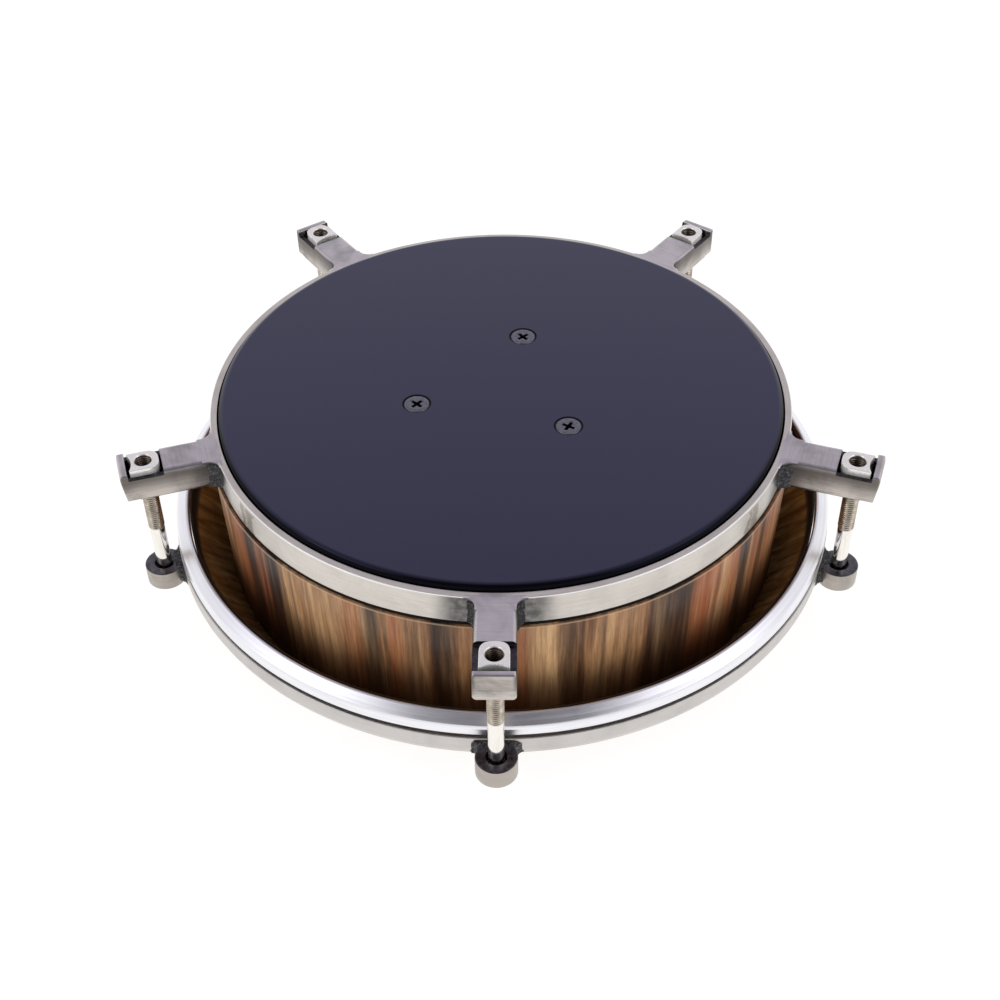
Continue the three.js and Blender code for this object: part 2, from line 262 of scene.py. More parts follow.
def weighted(ob, angle):
    """smooth, with the big faces' normals winning, so flats stay flat beside small edge radii"""
    shade(ob, angle)
    mod = ob.modifiers.new("weighted", "WEIGHTED_NORMAL")
    mod.mode = "FACE_AREA"
    mod.weight = 60
    mod.keep_sharp = True
    mod.thresh = 0.01
    bake(ob)


def spin(ob, angle):
    ob.data.transform(Matrix.Rotation(angle, 4, "Z"))
    return ob


def shift(ob, x, y):
    ob.data.transform(Matrix.Translation((x * MM, y * MM, 0)))
    return ob


def copy_of(ob, name):
    new = ob.copy()
    new.data = ob.data.copy()
    new.name = name
    new.data.name = name
    bpy.context.scene.collection.objects.link(new)
    return new


def join(name, parts):
    """one object from several, which are used up"""
    bm = bmesh.new()
    for part in parts:
        bm.from_mesh(part.data)
    mesh = bpy.data.meshes.new(name)
    bm.to_mesh(mesh)
    bm.free()
    ob = bpy.data.objects.new(name, mesh)
    bpy.context.scene.collection.objects.link(ob)
    for part in parts:
        drop(part)
    return ob


def drill(radius, low, high, count):
    """cylinder on the Z axis, for cutting a hole"""
    return lathe("drill", [(0, low), (radius, low), (radius, high), (0, high)], count)


def signed_power(value, power):
    return math.copysign(abs(value) ** power, value)


def lumpy(x, y, z, seed, amount, scale):
    """uneven offset for weld metal, from two sizes of noise"""
    point = Vector((x * scale + seed, y * scale, z * scale))
    fine = noise.noise(point * 2.7 + Vector((11.0, 3.0, 5.0)))
    return amount * (noise.noise(point) + 0.5 * fine)


def set_materials(ob, materials):
    ob.data.materials.clear()
    for material in materials:
        ob.data.materials.append(material)


def put(ob, materials, body, slot, *nodes, zone=None):
    """gives a piece its materials and its body, and hides the frame nodes it replaces;
    zone(centre in mm, normal) picks each face's material
    """
    set_materials(ob, materials)
    if zone:
        for face in ob.data.polygons:
            face.material_index = int(zone(face.center * 1000.0, face.normal))
    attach(ob, body)
    if nodes:
        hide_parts(*nodes)


# ---------------------------------------------------------------- brushing direction (UV)
def brush_uv(ob, along_across):
    """writes the 'brush' UV map, u along the brushing and v across it, from
    along_across(x, y, z, face normal, face centre) in mm"""
    mesh = ob.data
    layer = mesh.uv_layers.new(name="brush")
    data = [0.0] * (2 * len(mesh.loops))
    for face in mesh.polygons:
        centre = face.center * 1000.0
        for loop in face.loop_indices:
            point = mesh.vertices[mesh.loops[loop].vertex_index].co * 1000.0
            u, v = along_across(point.x, point.y, point.z, face.normal, centre)
            data[2 * loop] = u * 0.01
            data[2 * loop + 1] = v * 0.01
    layer.data.foreach_set("uv", data)
    mesh.uv_layers.active = layer


def near_angle(angle, reference):
    """the angle, in the turn that is nearest the reference"""
    while angle - reference > math.pi:
        angle -= 2 * math.pi
    while angle - reference < -math.pi:
        angle += 2 * math.pi
    return angle


def round_uv(x, y, z, normal, centre):
    """brushed round the drum"""
    angle = near_angle(math.atan2(y, x) - math.pi / 2,
                       math.atan2(centre.y, centre.x) - math.pi / 2)
    return angle * RING_OUT, math.hypot(x, y) - z


# ---------------------------------------------------------------- node helpers
class Nodes:
    """builds shader nodes in one tree; values are sockets, numbers or colours"""

    def __init__(self, tree):
        self.tree = tree
        tree.nodes.clear()

    def node(self, kind, **settings):
        made = self.tree.nodes.new("ShaderNode" + kind)
        for name, value in settings.items():
            setattr(made, name, value)
        return made

    def feed(self, socket, value):
        if isinstance(value, bpy.types.NodeSocket):
            self.tree.links.new(value, socket)
        elif isinstance(value, tuple):
            socket.default_value = (*value, 1)
        else:
            socket.default_value = value

    def coords(self, kind="Object"):
        return self.node("TexCoord").outputs[kind]

    def uv(self):
        return self.node("UVMap", uv_map="brush").outputs[0]

    def tangent(self):
        return self.node("Tangent", direction_type="UV_MAP", uv_map="brush").outputs[0]

    def sep(self, vector):
        made = self.node("SeparateXYZ")
        self.feed(made.inputs[0], vector)
        return made.outputs

    def noise(self, coords, scale, detail, rough, distort=0.0,
              stretch=None, move=(0, 0, 0), turn=(0, 0, 0)):
        """noise; a stretch multiplies the coordinates first, so a small one draws it out"""
        if stretch:
            mapping = self.node("Mapping")
            self.feed(mapping.inputs[0], coords)
            mapping.inputs["Scale"].default_value = stretch
            mapping.inputs["Location"].default_value = move
            mapping.inputs["Rotation"].default_value = turn
            coords = mapping.outputs[0]
        made = self.node("TexNoise")
        self.feed(made.inputs["Vector"], coords)
        self.feed(made.inputs["Scale"], scale)
        self.feed(made.inputs["Detail"], detail)
        self.feed(made.inputs["Roughness"], rough)
        self.feed(made.inputs["Distortion"], distort)
        return made.outputs["Fac"]

    def math(self, operation, *values, clamp=False):
        made = self.node("Math", operation=operation, use_clamp=clamp)
        for socket, value in zip(made.inputs, values):
            self.feed(socket, value)
        return made.outputs[0]

    def mul(self, a, b):
        return self.math("MULTIPLY", a, b)

    def add(self, a, b):
        return self.math("ADD", a, b)

    def swing(self, value, about, gain):
        """(value - about) * gain"""
        return self.mul(self.math("SUBTRACT", value, about), gain)

    def offset(self, value, target):
        """|value - target|"""
        return self.math("ABSOLUTE", self.math("SUBTRACT", value, target))

    def radius(self, x, y):
        return self.math("SQRT", self.add(self.mul(x, x), self.mul(y, y)))

    def remap(self, value, span, to=(0.0, 1.0), smooth=False):
        """takes the span of values onto the range 'to', and holds it beyond the ends"""
        made = self.node("MapRange")
        if smooth:
            made.interpolation_type = "SMOOTHSTEP"
        self.feed(made.inputs["Value"], value)
        ends = (*span, *to)
        for name, end in zip(("From Min", "From Max", "To Min", "To Max"), ends):
            self.feed(made.inputs[name], end)
        return made.outputs[0]

    def ramp(self, value, stops):
        """colour ramp from (position, colour) stops"""
        made = self.node("ValToRGB")
        elements = made.color_ramp.elements
        while len(elements) > 1:
            elements.remove(elements[-1])
        elements[0].position = stops[0][0]
        elements[0].color = (*stops[0][1], 1)
        for position, colour in stops[1:]:
            elements.new(position).color = (*colour, 1)
        self.feed(made.inputs[0], value)
        return made.outputs[0]

    def mix(self, base, over, amount):
        made = self.node("Mix", data_type="RGBA", clamp_factor=True)
        self.feed(made.inputs[0], amount)
        self.feed(made.inputs[6], base)
        self.feed(made.inputs[7], over)
        return made.outputs[2]

    def bump(self, height, strength, dist):
        made = self.node("Bump")
        self.feed(made.inputs["Height"], height)
        self.feed(made.inputs["Strength"], strength)
        self.feed(made.inputs["Distance"], dist)
        return made.outputs[0]


class Material(Nodes):
    def __init__(self, name):
        self.material = bpy.data.materials.new(name)
        self.material.use_nodes = True
        super().__init__(self.material.node_tree)
        output = self.node("OutputMaterial")
        self.shader = self.node("BsdfPrincipled")
        self.feed(output.inputs[0], self.shader.outputs[0])

    def finish(self, **inputs):
        """sets the shader's inputs, named with underscores for spaces"""
        for name, value in inputs.items():
            self.feed(self.shader.inputs[name.replace("_", " ")], value)
        return self.material


def scaled(colour, factor):
    return tuple(c * factor for c in colour)


# ---------------------------------------------------------------- steel
def nearest_arm(mat):
    """radius, angle from the nearest arm's centre line, and z"""
    x, y, z = mat.sep(mat.coords())
    radius = mat.radius(x, y)
    heading = mat.add(mat.math("ARCTAN2", y, x), math.pi / 2)
    return radius, mat.math("WRAP", heading, math.pi / 5, -math.pi / 5), z


def across_arm(mat, radius, angle):
    return mat.math("ABSOLUTE", mat.mul(radius, mat.math("SINE", angle)))


def along_arm(mat, radius, angle):
    return mat.mul(radius, mat.math("COSINE", angle))


def heat_mask(mat):
    """heat-darkened zones beside the arm welds"""
    radius, angle, z = nearest_arm(mat)
    across = across_arm(mat, radius, angle)
    along = along_arm(mat, radius, angle)
    below_top = mat.remap(z, (TOP * MM - 0.0004, TOP * MM - 0.0012))
    on_ring = mat.mul(mat.remap(across, (0.0300, 0.0165), smooth=True),
                      mat.remap(along, (0.1445, 0.1432)))
    on_arm = mat.mul(mat.remap(along, (0.1560, 0.1465), smooth=True),
                     mat.remap(across, (0.0098, 0.0090)))
    uneven = mat.noise(mat.coords(), scale=260.0, detail=3.0, rough=0.6)
    mask = mat.mul(mat.math("MAXIMUM", on_ring, on_arm), below_top)
    return mat.mul(mask, mat.remap(uneven, (0.30, 0.62), to=(0.72, 1.0)))


def painted_edge_highlight(mat):
    """painted highlight along the ring's outer top edge and the arms' long top edges"""
    radius, angle, z = nearest_arm(mat)
    across = across_arm(mat, radius, angle)
    along = along_arm(mat, radius, angle)
    # ring: a narrow band of radius, away from the arms, near the top
    ring = mat.mul(mat.remap(radius, (0.14195, 0.14215)), mat.remap(radius, (0.1430, 0.1427)))
    ring = mat.mul(ring, mat.remap(across, (0.0105, 0.0135)))
    ring = mat.mul(ring, mat.remap(z, (TOP * MM - 0.0010, TOP * MM - 0.0005)))
    # arms: the outermost strip of each side, fainter
    arm = mat.mul(mat.remap(across, (0.0080, 0.0086)), mat.remap(along, (0.1450, 0.1480)))
    arm = mat.mul(arm, mat.remap(across, (0.00925, 0.0090)))
    arm = mat.mul(arm, mat.remap(z, (TOP * MM - 0.0019, TOP * MM - 0.0010), to=(0.0, 0.28)))
    return mat.math("MAXIMUM", ring, arm)


# painted reflections, brown patches on the ring's band: (azimuth, half width), degrees
REFLECTION_PATCHES = [(-145.6, 1.0), (-142.9, 1.7), (-36.6, 0.9), (-34.4, 1.5)]


def painted_reflections(mat, base):
    x, y, z = mat.sep(mat.coords())
    azimuth = mat.mul(mat.math("ARCTAN2", y, x), 180 / math.pi)
    ragged = mat.noise(mat.coords(), scale=150.0, detail=3.0, rough=0.6)
    # each patch is a painted reflection, low on the ring's band
    for centre, half in REFLECTION_PATCHES:
        near = mat.offset(mat.add(azimuth, mat.swing(ragged, about=0.5, gain=5.0)), centre)
        reflection_patch = mat.remap(near, (half * 0.5, half), to=(0.72, 0.0), smooth=True)
        low = mat.remap(z, (0.0875, 0.0860))
        base = mat.mix(base, (0.30, 0.25, 0.19), amount=mat.mul(reflection_patch, low))
    return base


def painted_upright_light(mat, base, lines, side):
    """painted light on upright faces, warm and bright low down, and painted shade that darkens
    their flanks upwards;
    side is (z where the painted shade starts, z where it ends, low colour, high colour)"""
    z_from, z_to, low, high = side
    normal = mat.node("NewGeometry").outputs["Normal"]
    upright = mat.remap(mat.sep(normal)[2], (0.80, 0.35))
    z = mat.sep(mat.coords())[2]
    radius, angle, _ = nearest_arm(mat)
    flank = across_arm(mat, radius, angle)
    # the end face stays bright, with little of the painted shade
    darker = mat.mul(mat.remap(z, (z_from, z_to), smooth=True),
                     mat.remap(flank, (0.0072, 0.0092), to=(0.12, 1.0), smooth=True))
    colour = mat.mix(low, high, amount=darker)
    colour = mat.mix(colour, scaled(high, 0.62), amount=lines)
    return mat.mix(base, colour, amount=upright)


def brushed_steel(name, bright, dark, rough, aniso, streak, blotch, heat=False, side=None):
    """long fine lines along u, soft cloudy patches and a few deeper scratches;
    streak and blotch are the strengths of the lines and of the patches"""
    mat = Material(name)
    uv = mat.uv()
    fine = mat.noise(uv, scale=9.0, detail=6.0, rough=0.66, stretch=(0.8, 28.0, 1.0))
    mid = mat.noise(uv, scale=7.0, detail=4.0, rough=0.55, stretch=(0.35, 14.0, 1.0),
                    move=(3.1, 1.7, 0))
    cloud = mat.noise(mat.coords(), scale=46.0, detail=4.0, rough=0.6, distort=0.4)
    scratch = mat.noise(uv, scale=4.0, detail=2.0, rough=0.5, stretch=(0.8, 160.0, 1.0),
                        move=(7.7, 2.3, 0))
    deep = mat.remap(scratch, (0.66, 0.74))
    lines = mat.add(mat.swing(fine, about=0.46, gain=streak * 5.5),
                    mat.swing(mid, about=0.46, gain=streak * 4.0))
    tone = mat.add(mat.mul(mat.remap(cloud, (0.38, 0.72), smooth=True), blotch), lines)
    scratch_weight = 0.10
    tone = mat.math("ADD", tone, mat.mul(deep, scratch_weight), clamp=True)
    base = mat.mix(bright, dark, amount=tone)
    if heat:
        # painted highlight on the rounded top edges
        edge_highlight_weight = 0.75
        base = mat.mix(base, (0.93, 0.92, 0.90),
                       amount=mat.mul(painted_edge_highlight(mat), edge_highlight_weight))
    # painted light on upright faces, with painted shade up the arms' flanks
    if side:
        base = painted_upright_light(mat, base, tone, side)
    if heat:
        # painted reflections on the ring's band
        base = painted_reflections(mat, base)
        heat_weight = 0.90
        base = mat.mix(base, (0.055, 0.055, 0.058),
                       amount=mat.mul(heat_mask(mat), heat_weight))
    roughness = mat.add(mat.remap(fine, (0.3, 0.7), to=rough),
                        mat.swing(cloud, about=0.5, gain=0.16))
    fine_share, scratch_share = 0.6, 0.4
    height = mat.add(mat.mul(fine, fine_share), mat.mul(scratch, scratch_share))
    return mat.finish(Normal=mat.bump(height, strength=0.10, dist=0.0001),
                      Tangent=mat.tangent(), Base_Color=base, Metallic=1.0,
                      Roughness=roughness, Anisotropic=aniso)


STEEL = brushed_steel(
    "steel_ring", bright=(0.67, 0.63, 0.575), dark=(0.37, 0.345, 0.32), rough=(0.24, 0.40),
    aniso=0.55, streak=0.12, blotch=0.25, heat=True)
STEEL_EAR = brushed_steel(
    "steel_ear", bright=(0.45, 0.41, 0.365), dark=(0.22, 0.20, 0.18), rough=(0.28, 0.44),
    aniso=0.4, streak=0.14, blotch=0.50)
STEEL_ARM = brushed_steel(
    "steel_arm", bright=(0.60, 0.565, 0.585), dark=(0.28, 0.262, 0.275), rough=(0.26, 0.44),
    aniso=0.45, streak=0.15, blotch=0.60, heat=True,
    # side: painted light low on the upright faces and painted shade higher on the flanks
    side=(0.0750, 0.0868, (0.60, 0.55, 0.50), (0.17, 0.15, 0.135)))
STEEL_HOOP = brushed_steel(
    "steel_hoop", bright=(0.60, 0.575, 0.55), dark=(0.36, 0.34, 0.325), rough=(0.28, 0.42),
    aniso=0.4, streak=0.10, blotch=0.25)


def weld_metal():
    """rough dark bead with bright specks"""
    mat = Material("weld_dark")
    co = mat.coords()
    crust = mat.noise(co, scale=900.0, detail=5.0, rough=0.65, distort=0.6)
    patches = mat.noise(co, scale=210.0, detail=3.0, rough=0.5)
    specks = mat.noise(co, scale=1500.0, detail=3.0, rough=0.6)
    base = mat.ramp(crust, [(0.30, (0.018, 0.018, 0.020)), (0.50, (0.060, 0.060, 0.064)),
                            (0.64, (0.20, 0.20, 0.20)), (0.76, (0.46, 0.45, 0.43))])
    base = mat.mix(base, (0.035, 0.035, 0.038),
                   amount=mat.remap(patches, (0.4, 0.62), to=(0.0, 0.60)))
    base = mat.mix(base, (0.62, 0.61, 0.59),
                   amount=mat.remap(specks, (0.66, 0.74), to=(0.0, 0.85)))
    return mat.finish(Normal=mat.bump(crust, strength=0.9, dist=0.0006),
                      Base_Color=base, Metallic=0.85,
                      Roughness=mat.remap(crust, (0.3, 0.7), to=(0.55, 0.32)))


WELD = weld_metal()


def unpolished(name, dark, pale, rough):
    """mill scale and heat tint, faintly mottled"""
    mat = Material(name)
    co = mat.coords()
    mottle = mat.noise(co, scale=420.0, detail=5.0, rough=0.62, distort=0.3)
    patches = mat.noise(co, scale=120.0, detail=3.0, rough=0.5, distort=0.6)
    base = mat.mix(dark, pale, amount=mat.remap(mottle, (0.38, 0.70)))
    base = mat.mix(base, scaled(dark, 0.5),
                   amount=mat.remap(patches, (0.50, 0.72), to=(0.0, 0.5)))
    return mat.finish(Normal=mat.bump(mottle, strength=0.3, dist=0.0002),
                      Base_Color=base, Metallic=0.9,
                      Roughness=mat.remap(mottle, (0.3, 0.7), to=rough))


SCALE = unpolished("steel_scale", dark=(0.020, 0.019, 0.021), pale=(0.055, 0.052, 0.058),
                   rough=(0.30, 0.55))
EAR_TOP = unpolished("steel_heat_tint", dark=(0.085, 0.080, 0.092), pale=(0.17, 0.16, 0.18),
                     rough=(0.24, 0.42))
NOTCH_TOP = unpolished("steel_notch_tint", dark=(0.030, 0.028, 0.034),
                       pale=(0.085, 0.080, 0.092), rough=(0.26, 0.46))
BORE = unpolished("nickel_bore", dark=(0.10, 0.075, 0.055), pale=(0.30, 0.25, 0.20),
                  rough=(0.22, 0.40))


# ---------------------------------------------------------------- nickel, aluminium
def nickel(name, tint, rough, metal):
    mat = Material(name)
    co = mat.coords()
    haze = mat.noise(co, scale=300.0, detail=4.0, rough=0.6)
    grit = mat.noise(co, scale=1500.0, detail=3.0, rough=0.6)
    spots = mat.noise(co, scale=420.0, detail=3.0, rough=0.6, stretch=(1, 1, 6.0))
    base = mat.mix(tint, scaled(tint, 0.80),
                   amount=mat.remap(haze, (0.45, 0.72), to=(0.0, 0.5)))
    spot_weight = 0.25
    base = mat.mix(base, (0.30, 0.25, 0.19),
                   amount=mat.mul(mat.remap(spots, (0.60, 0.72)), spot_weight))
    return mat.finish(Roughness=mat.remap(haze, (0.3, 0.75), to=rough),
                      Normal=mat.bump(grit, strength=0.05, dist=0.0001),
                      Base_Color=base, Metallic=metal)


# the bright finish is defined but no piece wears it
nickel("nickel_bright", tint=(0.86, 0.83, 0.78), rough=(0.07, 0.20), metal=1.0)
NICKEL_NUT = nickel("nickel_nut", tint=(1.0, 0.985, 0.945), rough=(0.20, 0.36), metal=0.45)


def bolt_nickel():
    """bright nickel shank; browner and rougher over the threaded length"""
    mat = Material("nickel_bolt")
    co = mat.coords()
    haze = mat.noise(co, scale=260.0, detail=4.0, rough=0.6)
    grit = mat.noise(co, scale=1600.0, detail=3.0, rough=0.6)
    lines = mat.noise(co, scale=700.0, detail=3.0, rough=0.6, stretch=(1, 1, 0.12))
    threaded = mat.remap(mat.sep(co)[2], (0.0482, 0.0492))
    shank = mat.mix((0.90, 0.87, 0.81), (0.62, 0.58, 0.50),
                    amount=mat.remap(lines, (0.5, 0.75), to=(0.0, 0.4)))
    thread = mat.mix((0.52, 0.465, 0.385), (0.30, 0.26, 0.205),
                     amount=mat.remap(haze, (0.4, 0.7)))
    base = mat.mix(shank, thread, amount=threaded)
    thread_rough = 0.16
    roughness = mat.add(mat.remap(haze, (0.3, 0.75), to=(0.06, 0.15)),
                        mat.mul(threaded, thread_rough))
    return mat.finish(Normal=mat.bump(grit, strength=0.05, dist=0.0001),
                      Base_Color=base, Metallic=1.0, Roughness=roughness)


BOLT = bolt_nickel()


def turned_aluminium():
    """fine concentric lines and a soft sheen, slightly darker at the smallest radii"""
    mat = Material("hoop_aluminium")
    uv = mat.uv()
    fine = mat.noise(uv, scale=9.0, detail=5.0, rough=0.62, stretch=(0.25, 26.0, 1.0))
    mid = mat.noise(uv, scale=6.0, detail=4.0, rough=0.55, stretch=(0.5, 9.0, 1.0),
                    move=(1.3, 4.4, 0))
    cloud = mat.noise(mat.coords(), scale=30.0, detail=4.0, rough=0.6, distort=0.5)
    tone = mat.math("ADD", mat.swing(fine, about=0.5, gain=0.35),
                    mat.remap(mid, (0.45, 0.75), to=(0.0, 0.35)), clamp=True)
    base = mat.mix((0.88, 0.885, 0.91), (0.56, 0.57, 0.62), amount=tone)
    x, y, _ = mat.sep(mat.coords())
    inner = mat.remap(mat.radius(x, y), (0.1642, 0.1636))
    inner_weight = 0.15
    base = mat.mix(base, (0.55, 0.55, 0.66), amount=mat.mul(inner, inner_weight))
    roughness = mat.add(mat.remap(fine, (0.3, 0.7), to=(0.26, 0.38)),
                        mat.swing(cloud, about=0.5, gain=0.12))
    return mat.finish(Normal=mat.bump(fine, strength=0.06, dist=0.0001),
                      Tangent=mat.tangent(), Base_Color=base, Metallic=1.0,
                      Roughness=roughness, Anisotropic=0.5)


ALUMINIUM = turned_aluminium()


# ---------------------------------------------------------------- black parts
def gloss_black():
    mat = Material("plate_gloss_black")
    co = mat.coords()
    waves = mat.noise(co, scale=9.0, detail=3.0, rough=0.5)
    dust = mat.noise(co, scale=2600.0, detail=2.0, rough=0.5)
    scuff = mat.noise(co, scale=120.0, detail=5.0, rough=0.7, stretch=(1.0, 12.0, 1.0),
                      turn=(0, 0, 0.7))
    base = mat.mix((0.0030, 0.0032, 0.0045), (0.04, 0.042, 0.055),
                   amount=mat.remap(dust, (0.70, 0.78), to=(0.0, 0.22)))
    x, y, _ = mat.sep(co)
    radius = mat.radius(x, y)
    roughness = mat.add(mat.remap(waves, (0.3, 0.7), to=(0.10, 0.17)),
                        mat.remap(scuff, (0.62, 0.78), to=(0.0, 0.12)))
    # the sheen dies away in the rounded edge
    sheen = mat.remap(radius, (0.1362, 0.1376), to=(0.98, 0.06))
    return mat.finish(Normal=mat.bump(waves, strength=0.03, dist=0.002),
                      Base_Color=base, Roughness=roughness, IOR=1.52,
                      Specular_IOR_Level=sheen, Specular_Tint=(0.56, 0.57, 1.0))


PLATE = gloss_black()


def black_oxide():
    """screw finish; below the top of the head it is near-black and matt, painted shade in the
    cross recess and under the head
    """
    mat = Material("screw_black_oxide")
    mottle = mat.noise(mat.coords(), scale=700.0, detail=4.0, rough=0.6)
    top = mat.remap(mat.sep(mat.coords())[2],
                    ((PLATE_TOP - 0.62) * MM, (PLATE_TOP - 0.40) * MM))
    base = mat.mix((0.115, 0.115, 0.145), (0.21, 0.21, 0.245),
                   amount=mat.remap(mottle, (0.35, 0.7)))
    # painted shade below the top of the head
    base = mat.mix((0.006, 0.006, 0.007), base, amount=top)
    every = (0.0, 1.0)
    return mat.finish(Normal=mat.bump(mottle, strength=0.25, dist=0.0002), Base_Color=base,
                      Metallic=mat.remap(top, every, to=(0.0, 0.8)),
                      Roughness=mat.add(mat.remap(mottle, (0.3, 0.7), to=(0.24, 0.42)),
                                        mat.remap(top, every, to=(0.4, 0.0))),
                      Specular_IOR_Level=mat.remap(top, every, to=(0.05, 0.5)))


SCREW = black_oxide()


def seal_rubber():
    mat = Material("seal_rubber")
    grain = mat.noise(mat.coords(), scale=1200.0, detail=3.0, rough=0.6)
    base = mat.mix((0.004, 0.004, 0.004), (0.0096, 0.0096, 0.0096),
                   amount=mat.remap(grain, (0.4, 0.7)))
    return mat.finish(Normal=mat.bump(grain, strength=0.3, dist=0.0002), Base_Color=base,
                      Roughness=mat.remap(grain, (0.3, 0.7), to=(0.7, 0.95)),
                      Specular_IOR_Level=0.2)


RUBBER = seal_rubber()

# ---------------------------------------------------------------- wood, hide, board
# strips of the shell's veneer: (azimuth, half width, strength), degrees
DARK_BANDS = [
    (-143.5, 2.4, 0.90), (-139.6, 0.7, 0.7), (-136.3, 2.2, 1.0), (-133.4, 0.6, 0.8),
    (-131.0, 0.8, 0.5), (-126.8, 0.5, 0.4), (-113.2, 1.9, 0.95), (-110.2, 0.5, 0.55),
    (-104.2, 0.5, 0.4), (-99.7, 2.1, 1.0), (-96.9, 0.5, 0.5), (-94.4, 0.4, 0.35),
    (-77.0, 1.6, 0.78), (-74.6, 0.7, 0.62), (-66.0, 0.4, 0.4), (-60.6, 1.6, 0.95),
    (-57.2, 3.6, 0.97), (-53.6, 1.4, 0.97), (-70.6, 0.7, 0.55), (-45.4, 0.5, 0.45),
    (-37.5, 1.8, 0.95), (-34.4, 0.6, 0.6), (-30.5, 1.2, 0.75), (-12.0, 2.0, 0.9),
    (16.0, 1.8, 0.9), (41.0, 2.6, 0.95), (70.0, 1.6, 0.8), (97.0, 2.4, 0.95),
    (126.0, 1.8, 0.9), (151.0, 2.8, 0.95), (168.0, 1.4, 0.8), (-166.0, 1.8, 0.85)]
PALE_STRIPS = [
    (-124.0, 4.6, 0.60), (-105.0, 2.6, 0.40), (-81.5, 2.4, 0.85), (-68.0, 4.6, 0.30),
    (4.0, 6.0, 0.5), (56.0, 6.0, 0.5), (112.0, 6.0, 0.6), (178.0, 5.0, 0.5)]
RED_STRIPS = [
    (-48.6, 3.9, 0.95), (-41.5, 2.0, 0.75), (-87.5, 3.2, 0.60), (-117.2, 1.6, 0.35),
    (-108.2, 1.6, 0.75), (-92.5, 1.6, 0.45), (-140.0, 1.6, 0.8), (-148.5, 3.0, 0.8),
    (-33.5, 2.0, 0.6), (-25.0, 5.0, 0.6), (28.0, 5.0, 0.7), (84.0, 5.0, 0.7),
    (139.0, 5.0, 0.7)]


